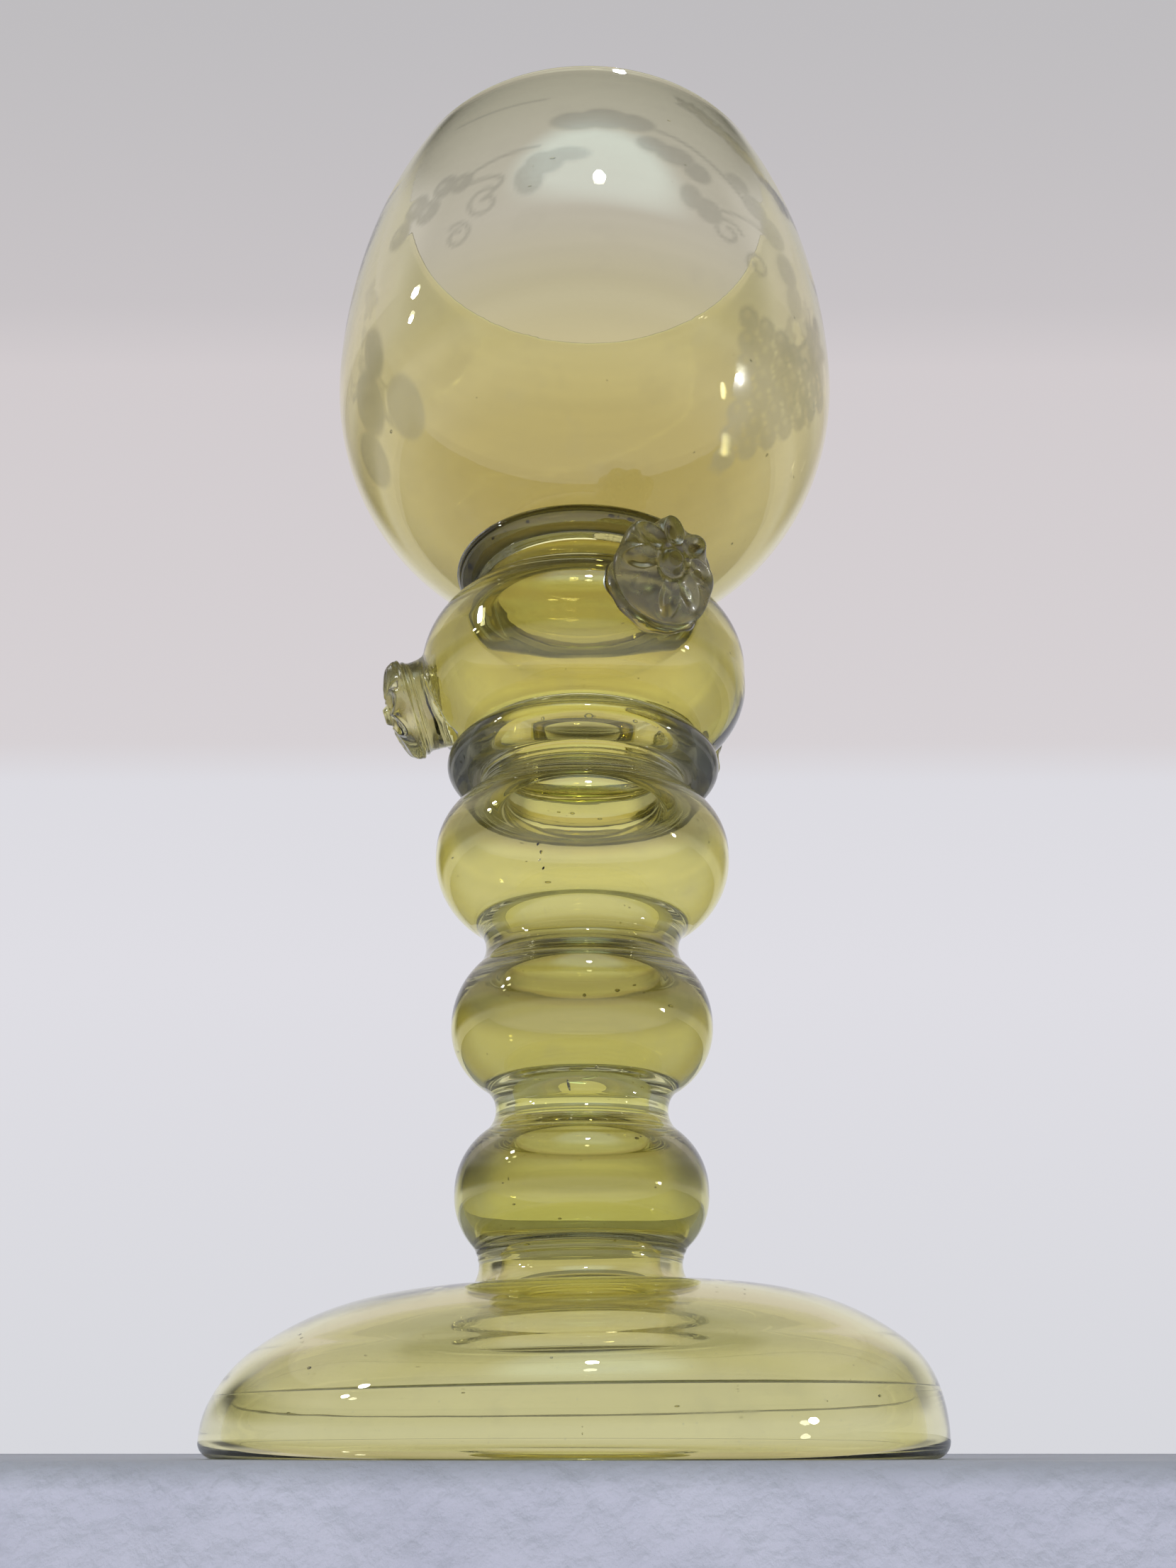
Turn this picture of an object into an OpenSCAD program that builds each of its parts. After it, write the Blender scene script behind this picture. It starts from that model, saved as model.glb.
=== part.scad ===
// Tall roemer: a blown bowl on a stem of hollow bulbs, with wound rings, stamped prunts and a folded dome foot
// Lengths are in millimetres, +Z is up, and the foot stands on Z = 0

/* [Foot] */
// Widest diameter of the foot
foot_d = 132.8; // [124:0.4:142]
// Rounding of the foot's lower edge
foot_edge_r = 3; // [2:0.1:3.4]
// Height of the foot's widest part
foot_side_h = 4; // [3.6:0.1:5]
// Radius of the foot's round shoulder
foot_shoulder_r = 18; // [14:0.5:21]
// Angle at which the shoulder passes into the crown
foot_shoulder_angle = 53; // [46:1:60]
// Radius of the foot's flatter crown
foot_crown_r = 46; // [38:0.5:52]
// Wall of the foot
foot_wall = 3; // [2.2:0.1:4]
// Height that the rim, folded inwards, reaches up inside
fold_h = 9.5; // [7.5:0.1:10.5]
// Thickness that the fold adds to the wall
fold_w = 1.4; // [1.2:0.1:3]
// Diameter of the neck at the top of the foot
foot_neck_d = 38.6; // [35:0.2:43]
// Radius of the sweep from the crown up to the neck
foot_neck_sweep = 5.4; // [4:0.1:7]
// Wall of that neck
foot_neck_wall = 4.3; // [3:0.1:6]

/* [Lower bulb] */
// Widest diameter of the lower bulb
lower_d = 49.2; // [46:0.2:53]
// Height from the foot's neck up to its straight side
lower_rise = 13; // [11:0.1:15]
// Height of its straight side
lower_side = 1; // [0.4:0.1:4]
// Height from its straight side up to the next waist
lower_fall = 15.2; // [13:0.1:18]
// Wall of the lower bulb at its widest
lower_wall = 2.5; // [1.5:0.1:3.5]
// Diameter of the waist between the lower and the middle bulb
low_waist_d = 34.2; // [30:0.2:37]
// Wall of that waist
low_waist_wall = 4; // [3:0.1:5]

/* [Middle bulb] */
// Widest diameter of the middle bulb
middle_d = 53.2; // [50:0.2:58]
// Height from the lower waist up to its widest part
middle_rise = 16.9; // [15:0.1:20]
// Height of its straight side
middle_side = 0.6; // [0.4:0.1:4]
// Height from its widest part up to the next waist
middle_fall = 15.9; // [14:0.1:19]
// Wall of the middle bulb at its widest
middle_wall = 1.6; // [1:0.1:3]
// Diameter of the waist between the middle and the upper bulb
high_waist_d = 40.2; // [36:0.2:43]
// Wall of that waist
high_waist_wall = 3.6; // [2.6:0.1:5]

/* [Upper bulb] */
// Widest diameter of the upper bulb
upper_d = 62.8; // [59:0.2:68]
// Height from the high waist up to its widest part
upper_rise = 19.9; // [18:0.1:23]
// Height of its straight side
upper_side = 1; // [0.4:0.1:4]
// Height from its widest part up to the throat
upper_fall = 16.5; // [14:0.1:20]
// Wall of the upper bulb at its widest
upper_wall = 1.3; // [0.9:0.1:2.5]

/* [Throat and cordon] */
// Diameter of the throat under the prunted knop
throat_d = 44.6; // [42:0.2:48]
// Height of the straight throat
throat_h = 6.4; // [5:0.1:9]
// Wall of the throat
throat_wall = 5.5; // [4:0.1:7]
// How far the cordon wound round the throat stands out from it
cordon_out = 7.7; // [6:0.1:9]
// Thickness of the cordon
cordon_t = 8.7; // [7.5:0.1:9.6]
// Height of the cordon's middle above the foot of the throat
cordon_lift = 4.2; // [2.5:0.1:6]

/* [Prunted knop] */
// Widest diameter of the prunted knop
knop_d = 73; // [68:0.2:78]
// Height from the throat up to its widest part
knop_rise = 18; // [16.4:0.1:21]
// Height of its straight side
knop_side = 3.8; // [0.4:0.1:6]
// Height from its widest part up to the top neck
knop_fall = 20.2; // [18:0.1:24]
// Wall of the knop at its widest
knop_wall = 1.8; // [1.2:0.1:3]
// Diameter of the knop's top neck
top_neck_d = 49.6; // [46:0.2:53]
// Height of the top neck, up to the bowl
top_neck_h = 3.7; // [2.5:0.1:6]
// Wall of the top neck
top_neck_wall = 4.3; // [3:0.1:6]

/* [Hollows] */
// Length of the straight bore at each end of a bulb's hollow
bore_h = 3; // [2.4:0.1:3.8]

/* [Prunts] */
// Diameter of a prunt's stamped disc
prunt_d = 22; // [19:0.2:24]
// How far a prunt's disc stands out from the knop
prunt_h = 6.5; // [5.4:0.1:7.5]
// Rounding of the disc's edge
prunt_edge_r = 2; // [1.4:0.1:2.4]
// Diameter of the waist behind the disc
prunt_waist_d = 17.6; // [15:0.2:17.8]
// Width by which the prunt's root spreads on the knop
prunt_root_w = 1.4; // [0.8:0.1:2]
// Petals round the disc
prunt_petals = 8; // [6:1:9]
// Radius of a petal's swelling
petal_r = 3.2; // [2.6:0.1:3.8]
// Radius of the ring that the petals stand on
petal_ring_r = 6.9; // [6.2:0.1:7.4]
// How far the petals stand above the disc
petal_stand = 1.5; // [1:0.1:2]
// Radius of the boss at the middle
boss_r = 2.3; // [1.8:0.1:2.8]
// How far the boss stands above the disc
boss_stand = 1.7; // [1.2:0.1:2.2]
// Turn of the front prunt round the stem, from the front towards the right
front_prunt_turn = 25; // [10:1:35]
// Rise of the front prunt's axis above the horizontal
front_prunt_tilt = 10; // [0:1:16]
// Turn of the left prunt round the stem
left_prunt_turn = 272; // [260:1:285]
// Rise of the left prunt's axis, downwards here
left_prunt_tilt = -19; // [-30:1:-8]
// Turn of the rear prunt round the stem
rear_prunt_turn = 143; // [130:1:160]
// Rise of the rear prunt's axis, downwards here
rear_prunt_tilt = -9; // [-18:1:5]

/* [Collar and bowl] */
// How far the collar wound under the bowl stands out from the top neck
collar_out = 4.7; // [3.6:0.1:5.8]
// Thickness of the collar
collar_t = 7; // [6:0.1:8]
// Height of the collar's middle above the top neck's edge
collar_lift = 1.9; // [0.6:0.1:2.4]
// Widest diameter of the bowl
bowl_d = 122; // [114:0.5:130]
// Radius of the bowl's upper side, as it draws in to the rim
bowl_side_r = 151; // [130:1:180]
// Height from the bowl's widest part up to the rim
bowl_side_h = 59.2; // [50:0.2:66]
// Wall of the bowl's side
bowl_wall = 1.3; // [1:0.1:2]
// Thickness of the bowl's bottom
bowl_bottom = 3; // [2:0.1:5]

/* [Hidden] */
$fn = 96;
// Share of each swelling's height that its round belly takes, the rest being the sweep into the neck
belly_share = 0.7;
full_belly_share = 0.75;
// The same share for the hollow inside, which turns into its bores by tighter lips
hollow_share = 0.86;
big_steps = 10;
small_steps = 6;

foot_r = foot_d / 2;
foot_neck_r = foot_neck_d / 2;
shoulder_c = foot_r - foot_shoulder_r;
crown_c = shoulder_c - (foot_crown_r - foot_shoulder_r) * cos(foot_shoulder_angle);
crown_cz = foot_side_h - (foot_crown_r - foot_shoulder_r) * sin(foot_shoulder_angle);
crown_z = crown_cz + foot_crown_r;
fold_in_r = foot_shoulder_r - foot_wall - fold_w;
fold_mid_r = foot_shoulder_r - foot_wall - fold_w / 2;
fold_angle = asin((fold_h - foot_side_h) / fold_mid_r);
fold_r = shoulder_c + fold_in_r;
fold_lip = fold_w / 3;
foot_z = crown_z + foot_neck_sweep;

lower_z = foot_z + lower_rise;
low_waist_z = lower_z + lower_side + lower_fall;
middle_z = low_waist_z + middle_rise;
high_waist_z = middle_z + middle_side + middle_fall;
upper_z = high_waist_z + upper_rise;
throat_z = upper_z + upper_side + upper_fall;
cordon_z = throat_z + cordon_lift;
throat_top_z = throat_z + throat_h;
knop_z = throat_top_z + knop_rise;
knop_side_z = knop_z + knop_side;
top_neck_z = knop_side_z + knop_fall;
seat_z = top_neck_z + top_neck_h;

bowl_r = bowl_d / 2;
top_neck_r = top_neck_d / 2;
bowl_z = seat_z + sqrt(bowl_r * bowl_r - top_neck_r * top_neck_r);
rim_z = bowl_z + bowl_side_h;
side_c = bowl_r - bowl_side_r;
rim_r = side_c + sqrt(bowl_side_r * bowl_side_r - bowl_side_h * bowl_side_h);
lip_r = bowl_wall / 2;

function arc(cx, cz, r, a0, a1, n) =
    [for (i = [0 : n]) [cx + r * cos(a0 + (a1 - a0) * i / n), cz + r * sin(a0 + (a1 - a0) * i / n)]];
function backwards(p) = [for (i = [len(p) - 1 : -1 : 0]) p[i]];
function without_first(p) = [for (i = [1 : len(p) - 1]) p[i]];

// From a belly to a neck by two arcs that meet on one tangent: the belly's round and the neck's hollow
function swell_radius(r0, z0, r1, z1) = ((r0 - r1) * (r0 - r1) + (z1 - z0) * (z1 - z0)) / (2 * (r0 - r1));
function swell_angle(r0, z0, r1, z1) = atan2(abs(z1 - z0), swell_radius(r0, z0, r1, z1) - (r0 - r1));
function swell(r0, z0, r1, z1, share) =
    let (s = swell_radius(r0, z0, r1, z1), a = sign(z1 - z0) * swell_angle(r0, z0, r1, z1))
    concat(
        arc(r0 - s * share, z0, s * share, 0, a, big_steps),
        without_first(arc(r1 + s * (1 - share), z1, s * (1 - share), 180 + a, 180, small_steps)));

// One side of a bulb, from its lower neck over its straight side to its upper neck
function bulb_side(r_low, z_low, r, z0, z1, r_high, z_high, share) =
    concat(backwards(swell(r, z0, r_low, z_low, share)), swell(r, z1, r_high, z_high, share));

// Inner side of a bulb: a straight bore at each neck, and between them the hollow with its rounded lips
function hollow_side(r_low, z_low, r, z0, z1, r_high, z_high) =
    concat(
        [[r_low, z_low]],
        bulb_side(r_low, z_low + bore_h, r, z0, z1, r_high, z_high - bore_h, hollow_share),
        [[r_high, z_high]]);

// A bulb with its own wall at the lower neck, at the belly and at the upper neck
function bulb_section(d_low, w_low, z_low, d, w, z0, z1, d_high, w_high, z_high, share) =
    concat(
        bulb_side(d_low / 2, z_low, d / 2, z0, z1, d_high / 2, z_high, share),
        backwards(hollow_side(d_low / 2 - w_low, z_low, d / 2 - w, z0, z1, d_high / 2 - w_high, z_high)));

function foot_outside() = concat(
    arc(foot_r - foot_edge_r, foot_edge_r, foot_edge_r, -90, 0, small_steps),
    arc(shoulder_c, foot_side_h, foot_shoulder_r, 0, foot_shoulder_angle, big_steps),
    without_first(arc(crown_c, crown_cz, foot_crown_r, foot_shoulder_angle, 90, big_steps)),
    arc(foot_neck_r + foot_neck_sweep, foot_z, foot_neck_sweep, 270, 180, small_steps));

inner_sweep = foot_neck_sweep + foot_wall;
function foot_inside() = concat(
    arc(fold_r + fold_lip, fold_lip, fold_lip, 270, 180, small_steps),
    arc(shoulder_c, foot_side_h, fold_in_r, 0, fold_angle, small_steps),
    without_first(arc(shoulder_c + fold_mid_r * cos(fold_angle), fold_h, fold_w / 2, 180 + fold_angle, fold_angle,
        small_steps)),
    without_first(arc(shoulder_c, foot_side_h, foot_shoulder_r - foot_wall, fold_angle, foot_shoulder_angle,
        big_steps)),
    without_first(arc(crown_c, crown_cz, foot_crown_r - foot_wall, foot_shoulder_angle, 90, big_steps)),
    arc(foot_neck_r - foot_neck_wall + inner_sweep, foot_z, inner_sweep, 270, 180, small_steps));

function knop_outside() = bulb_side(
    throat_d / 2, throat_top_z, knop_d / 2, knop_z, knop_side_z, top_neck_r, top_neck_z, full_belly_share);
// A lip at the throat, and a smooth sweep into the top neck
function knop_inside() = concat(
    [[throat_d / 2 - throat_wall, throat_top_z]],
    backwards(swell(knop_d / 2 - knop_wall, knop_z, throat_d / 2 - throat_wall, throat_top_z + bore_h,
        hollow_share)),
    swell(knop_d / 2 - knop_wall, knop_side_z, top_neck_r - top_neck_wall, top_neck_z, belly_share));
function upper_outside() = bulb_side(
    high_waist_d / 2, high_waist_z, upper_d / 2, upper_z, upper_z + upper_side, throat_d / 2, throat_z, belly_share);

function bowl_outside() = concat(
    arc(0, bowl_z, bowl_r, -90, 0, 36),
    without_first(arc(side_c, bowl_z, bowl_side_r, 0, asin(bowl_side_h / bowl_side_r), 12)));
function bowl_inside() = concat(
    backwards(arc(side_c, bowl_z, bowl_side_r - bowl_wall, 0, asin(bowl_side_h / bowl_side_r), 12)),
    [for (i = [1 : 36]) let (a = 90 * i / 36)
        [(bowl_r - bowl_wall) * cos(a), bowl_z - (bowl_r - bowl_bottom) * sin(a)]]);

// Half sections of what the rings and prunts are laid on, filled to the axis
module knop_filled() {
    polygon(concat([[0, cordon_z], [throat_d / 2, cordon_z]], knop_outside(),
        [[top_neck_r, seat_z + bowl_bottom / 2], [0, seat_z + bowl_bottom / 2]]));
}
module throat_filled() {
    polygon(concat([[0, high_waist_z]], upper_outside(), [[throat_d / 2, cordon_z], [0, cordon_z]]));
}
module bowl_filled() {
    polygon(concat(bowl_outside(), [[0, rim_z]]));
}

module foot() {
    color([0.72, 0.71, 0.42])
        rotate_extrude()
            polygon(concat(foot_outside(), backwards(foot_inside())));
}

module lower_bulb() {
    color([0.72, 0.70, 0.38])
        rotate_extrude()
            polygon(bulb_section(foot_neck_d, foot_neck_wall, foot_z, lower_d, lower_wall, lower_z,
                lower_z + lower_side, low_waist_d, low_waist_wall, low_waist_z, belly_share));
}

module middle_bulb() {
    color([0.72, 0.70, 0.38])
        rotate_extrude()
            polygon(bulb_section(low_waist_d, low_waist_wall, low_waist_z, middle_d, middle_wall, middle_z,
                middle_z + middle_side, high_waist_d, high_waist_wall, high_waist_z, belly_share));
}

module upper_bulb() {
    color([0.72, 0.70, 0.38])
        rotate_extrude()
            polygon(concat(
                upper_outside(),
                [[throat_d / 2, cordon_z], [throat_d / 2 - throat_wall, cordon_z]],
                backwards(hollow_side(high_waist_d / 2 - high_waist_wall, high_waist_z, upper_d / 2 - upper_wall,
                    upper_z, upper_z + upper_side, throat_d / 2 - throat_wall, throat_z))));
}

module cordon_ring() {
    color([0.50, 0.49, 0.30])
        rotate_extrude()
            difference() {
                translate([throat_d / 2 + cordon_out - cordon_t / 2, cordon_z]) circle(d = cordon_t);
                knop_filled();
                throat_filled();
            }
}

module prunted_knop() {
    color([0.70, 0.68, 0.36])
        rotate_extrude()
            difference() {
                polygon(concat(
                    [[throat_d / 2, cordon_z]],
                    knop_outside(),
                    [[top_neck_r, seat_z + bowl_bottom], [top_neck_r - top_neck_wall, seat_z + bowl_bottom]],
                    backwards(knop_inside()),
                    [[throat_d / 2 - throat_wall, cordon_z]]));
                bowl_filled();
            }
}

// Where a prunt's axis leaves the knop, at its tilt on the belly's upper or lower round
upper_belly = full_belly_share * swell_radius(knop_d / 2, knop_side_z, top_neck_r, top_neck_z);
lower_belly = full_belly_share * swell_radius(knop_d / 2, knop_z, throat_d / 2, throat_top_z);
function seat(tilt) = tilt >= 0
    ? [knop_d / 2 - upper_belly * (1 - cos(tilt)), knop_side_z + upper_belly * sin(tilt)]
    : [knop_d / 2 - lower_belly * (1 - cos(tilt)), knop_z + lower_belly * sin(tilt)];

// A stamped prunt with its axis along +Z: a root that the knop trims, a waist, a round-edged disc, petals and a boss
root_depth = 4.5;
behind_disc = prunt_h - 2 * prunt_edge_r;
module stamped_prunt() {
    rotate_extrude()
        polygon(concat(
            [[0, -root_depth], [prunt_waist_d / 2 + prunt_root_w, -root_depth]],
            [[prunt_waist_d / 2 + 0.7 * prunt_root_w, 0.2 * behind_disc], [prunt_waist_d / 2, 0.6 * behind_disc]],
            arc(prunt_d / 2 - prunt_edge_r, prunt_h - prunt_edge_r, prunt_edge_r, -80, 90, big_steps),
            [[0, prunt_h]]));
    for (i = [0 : prunt_petals - 1])
        rotate([0, 0, 360 * (i + 0.5) / prunt_petals])
            translate([petal_ring_r, 0, prunt_h + petal_stand - petal_r])
                sphere(r = petal_r);
    translate([0, 0, prunt_h + boss_stand - boss_r])
        sphere(r = boss_r);
}
module prunt(turn, tilt) {
    color([0.52, 0.51, 0.30])
        difference() {
            rotate([0, 0, turn - 90])
                translate([seat(tilt)[0], 0, seat(tilt)[1]])
                    rotate([0, 90 - tilt, 0])
                        stamped_prunt();
            rotate_extrude() knop_filled();
        }
}

module prunt_front() {
    prunt(front_prunt_turn, front_prunt_tilt);
}

module prunt_left() {
    prunt(left_prunt_turn, left_prunt_tilt);
}

module prunt_rear() {
    prunt(rear_prunt_turn, rear_prunt_tilt);
}

module collar_ring() {
    color([0.50, 0.49, 0.30])
        rotate_extrude()
            difference() {
                translate([top_neck_r + collar_out - collar_t / 2, seat_z + collar_lift]) circle(d = collar_t);
                knop_filled();
                bowl_filled();
            }
}

module bowl() {
    color([0.78, 0.77, 0.56])
        rotate_extrude()
            polygon(concat(
                bowl_outside(),
                without_first(arc(rim_r - lip_r, rim_z, lip_r, 0, 180, small_steps)),
                without_first(bowl_inside())));
}

foot();
lower_bulb();
middle_bulb();
upper_bulb();
cordon_ring();
prunted_knop();
prunt_front();
prunt_left();
prunt_rear();
collar_ring();
bowl();
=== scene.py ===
"""Tall roemer of yellow-green glass: turned glass walls, wound rings, stamped prunts and an engraved vine."""

import bpy
import numpy as np
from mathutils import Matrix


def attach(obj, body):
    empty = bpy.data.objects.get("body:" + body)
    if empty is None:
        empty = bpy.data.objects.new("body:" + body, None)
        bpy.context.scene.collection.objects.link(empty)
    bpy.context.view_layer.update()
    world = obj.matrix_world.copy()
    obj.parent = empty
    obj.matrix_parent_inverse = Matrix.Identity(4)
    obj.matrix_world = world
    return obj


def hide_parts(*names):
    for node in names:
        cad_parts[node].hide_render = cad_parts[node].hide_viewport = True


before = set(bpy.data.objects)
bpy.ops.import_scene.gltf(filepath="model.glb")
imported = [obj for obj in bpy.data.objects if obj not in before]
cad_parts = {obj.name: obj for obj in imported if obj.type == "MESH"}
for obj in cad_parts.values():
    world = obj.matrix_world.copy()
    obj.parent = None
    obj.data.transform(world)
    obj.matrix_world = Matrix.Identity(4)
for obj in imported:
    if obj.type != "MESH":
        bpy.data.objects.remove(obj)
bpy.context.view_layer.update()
scene = bpy.context.scene
rng = np.random.default_rng(7)
MM = 0.001

# Sizes in millimetres. They are the part's own, but the three bulbs' walls and the foot's fold are thinner,
# and the prunts have fuller waists and less spread roots
FOOT_R, FOOT_EDGE_R, FOOT_SIDE_H, FOOT_SHOULDER_R, FOOT_SHOULDER_ANGLE = 66.4, 3.0, 4.0, 18.0, 53.0
FOOT_CROWN_R, FOOT_WALL, FOLD_H, FOLD_W = 46.0, 3.0, 9.5, 0.8
FOOT_NECK_R, FOOT_NECK_SWEEP, FOOT_NECK_WALL = 19.3, 5.4, 4.3
LOWER_R, LOWER_RISE, LOWER_SIDE, LOWER_FALL, LOWER_WALL = 24.6, 13.0, 1.0, 15.2, 1.5
LOW_WAIST_R, LOW_WAIST_WALL = 17.1, 4.0
MIDDLE_R, MIDDLE_RISE, MIDDLE_SIDE, MIDDLE_FALL, MIDDLE_WALL = 26.6, 16.9, 0.6, 15.9, 1.0
HIGH_WAIST_R, HIGH_WAIST_WALL = 20.1, 3.6
UPPER_R, UPPER_RISE, UPPER_SIDE, UPPER_FALL, UPPER_WALL = 31.4, 19.9, 1.0, 16.5, 0.8
THROAT_R, THROAT_H, THROAT_WALL = 22.3, 6.4, 5.5
CORDON_OUT, CORDON_T, CORDON_LIFT = 7.7, 8.7, 4.2
KNOP_R, KNOP_RISE, KNOP_SIDE, KNOP_FALL, KNOP_WALL = 36.5, 18.0, 3.8, 20.2, 1.8
TOP_NECK_R, TOP_NECK_H, TOP_NECK_WALL = 24.8, 3.7, 4.3
PRUNT_R, PRUNT_H, PRUNT_WAIST_R, PRUNT_ROOT_W, PRUNT_PETALS = 11.0, 6.5, 10.2, 0.8, 8
# The face's rise over its edge, the boss on the face, and the height of the root's upper end
PRUNT_DOME, PRUNT_BOSS, PRUNT_ROOT_H = 1.6, 1.1, 0.9
# Each prunt as its turn from the front to the right, its tilt and its stamp's roll in degrees, how evenly the
# stamp pressed from 0 to 1, and how far its face nods down, as a slope
PRUNTS = {"front": (25, 10, 90, 0.15, 0.42), "left": (272, -19, 40, 0.9, 0), "rear": (143, -9, 70, 0.9, 0)}
COLLAR_OUT, COLLAR_T, COLLAR_LIFT = 4.7, 7.0, 1.9
BOWL_R, BOWL_SIDE_R, BOWL_SIDE_H, BOWL_WALL, BOWL_BOTTOM = 61.0, 151.0, 59.2, 1.3, 3.0
BELLY_SHARE, FULL_BELLY_SHARE, HOLLOW_SHARE = 0.7, 0.75, 0.86
BORE_H = 3.0
# Film of air between two gathers where they touch
SEAM = 0.03
# Depth of the engraving
CUT_DEPTH = 0.02
# Half width and half thickness of a crack's sheet of air
CRACK_W, CRACK_T = 0.4, 0.015
# Cracks and marks as turn from the front in degrees, radius, height, lie in degrees and half length
WAIST_CRACKS = [
    (8.5, 18.4, 67.0, 14, 0.5), (5, 16.6, 65.4, 80, 1.8), (-3, 15.6, 64.6, 95, 1.8),
    (-9, 15.2, 64.2, -12, 1.3)]
UPPER_MARKS = [
    (-17.0, 29.2, 108.3, 12, 0.35), (-16.2, 28.4, 106.9, -35, 0.35), (-17.4, 27.5, 105.7, 50, 0.35),
    (-16.6, 26.3, 104.4, 8, 0.35)]
# Fine raised lines as height, rise and width
NECK_LINES = [(34.2, 0.12, 0.3), (35.4, 0.1, 0.3)]
THROAT_LINES = [(130.0, 0.2, 0.3), (131.7, 0.24, 0.3), (133.7, 0.2, 0.3)]
KNOP_LINES = [(143.0, 0.16, 0.3), (144.2, 0.16, 0.3)]
# Height at which the throat goes under its ring
UNDER_CORDON = 134.7
# Rows of an outline that stay free of bubbles at each end, at the knop's ends and at the bowl's bottom
PLAIN_ROWS, KNOP_PLAIN_ROWS, BOWL_PLAIN_ROWS = 6, 8, 24
# Edges that turn by more than this many degrees stay sharp
SHARP_ANGLE = 48
# Top of the scale on which colours follow the height
RAMP_TOP = 310
GLASS_IOR = 1.5
# Tints of the film of dust and lime, of the painted glow at the bowl's edges, and of the painted shade in the
# matt cut
FILM_TINT, PAINTED_EDGE_GLOW_TINT, MATT_PAINTED_SHADE_TINT = (0.62, 0.60, 0.50, 1), (0.97, 0.95, 0.74, 1), (0.57, 0.565, 0.45, 1)
SOAK_TINT, DEEP_TINT = (0.96, 0.87, 0.05, 1), (0.05, 0.05, 0.036, 1)
# Front of the shelf and the radius of its edge in metres
SHELF_FRONT, SHELF_ROUND = -0.08, 0.0035

# Heights and centres that follow from the sizes
SHOULDER_C = FOOT_R - FOOT_SHOULDER_R
CROWN_C = SHOULDER_C - (FOOT_CROWN_R - FOOT_SHOULDER_R) * np.cos(np.radians(FOOT_SHOULDER_ANGLE))
CROWN_CZ = FOOT_SIDE_H - (FOOT_CROWN_R - FOOT_SHOULDER_R) * np.sin(np.radians(FOOT_SHOULDER_ANGLE))
FOOT_Z = CROWN_CZ + FOOT_CROWN_R + FOOT_NECK_SWEEP
LOWER_Z = FOOT_Z + LOWER_RISE
LOW_WAIST_Z = LOWER_Z + LOWER_SIDE + LOWER_FALL
MIDDLE_Z = LOW_WAIST_Z + MIDDLE_RISE
HIGH_WAIST_Z = MIDDLE_Z + MIDDLE_SIDE + MIDDLE_FALL
UPPER_Z = HIGH_WAIST_Z + UPPER_RISE
THROAT_Z = UPPER_Z + UPPER_SIDE + UPPER_FALL
CORDON_Z = THROAT_Z + CORDON_LIFT
THROAT_TOP_Z = THROAT_Z + THROAT_H
KNOP_Z = THROAT_TOP_Z + KNOP_RISE
KNOP_SIDE_Z = KNOP_Z + KNOP_SIDE
TOP_NECK_Z = KNOP_SIDE_Z + KNOP_FALL
SEAT_Z = TOP_NECK_Z + TOP_NECK_H
BOWL_Z = SEAT_Z + np.sqrt(BOWL_R ** 2 - TOP_NECK_R ** 2)
RIM_Z = BOWL_Z + BOWL_SIDE_H
SIDE_C = BOWL_R - BOWL_SIDE_R


def arc(cx, cz, r, a0, a1, n):
    """Points (radius, height) on a circle about (cx, cz), from angle a0 to a1 in degrees."""
    a = np.radians(np.linspace(a0, a1, n + 1))
    return np.stack([cx + r * np.cos(a), cz + r * np.sin(a)], 1)


def polar(r, t, z):
    """Points at a radius, an angle and a height about the axis."""
    return np.stack(np.broadcast_arrays(r * np.cos(t), r * np.sin(t), z), -1)


def all_round(n):
    """Angles of n equal steps round the axis."""
    return np.linspace(0, 2 * np.pi, n, endpoint=False)


def swell(r0, z0, r1, z1, share):
    """From a belly at (r0, z0) to a neck at (r1, z1) by two arcs with one tangent. The belly's arc takes its
    share of the two radii."""
    s = ((r0 - r1) ** 2 + (z1 - z0) ** 2) / (2 * (r0 - r1))
    a = np.sign(z1 - z0) * np.degrees(np.arctan2(abs(z1 - z0), s - (r0 - r1)))
    belly = arc(r0 - s * share, z0, s * share, 0, a, 28)
    neck = arc(r1 + s * (1 - share), z1, s * (1 - share), 180 + a, 180, 30)
    return np.concatenate([belly, neck[1:]])


def bulb_side(r_low, z_low, r, z0, z1, r_high, z_high, share):
    """One side of a bulb, from its lower neck over its straight side to its upper neck."""
    up = swell(r, z1, r_high, z_high, share)
    return np.concatenate([swell(r, z0, r_low, z_low, share)[::-1], up])


def hollow_side(r_low, z_low, r, z0, z1, r_high, z_high):
    """Inner side of a bulb: a sweep out of its lower neck, and a lip under the bore of its upper one."""
    up = swell(r, z1, r_high, z_high - BORE_H, HOLLOW_SHARE)
    return np.concatenate([swell(r, z0, r_low, z_low, BELLY_SHARE)[::-1], up, [[r_high, z_high]]])


def smooth(x):
    """Rise from 0 to 1 over 0 to 1 with level ends: 3x² - 2x³."""
    x = np.clip(x, 0, 1)
    return x * x * (3 - 2 * x)


def blown(p):
    """Uneven hand-blown form: the axis leans, the foot's crown tips, and sections are out of round."""
    x, y, z = p[..., 0], p[..., 1], p[..., 2]
    turn = np.arctan2(y, x)
    oval = 1 + 0.0035 * np.sin(2 * turn + z / 23) + 0.002 * np.sin(3 * turn - z / 31 + 1)
    lean = -1.2 * np.exp(-((z / 24) ** 2)) + 0.9 * np.clip((z - 140) / 160, 0, None) ** 2
    tip = 0.022 * smooth(z / 14) * (1 - smooth((z - 28) / 14))
    return np.stack([x * oval + lean, y * oval, z + x * tip], -1)


def ridged(side, lines):
    """Fine raised lines on an outer side: each adds h exp(-((z - z0) / w)²) to the radius."""
    lift = sum(h * np.exp(-(((side[:, 1] - z0) / w) ** 2)) for z0, h, w in lines)
    return side + np.stack([lift, 0 * lift], 1)


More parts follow.
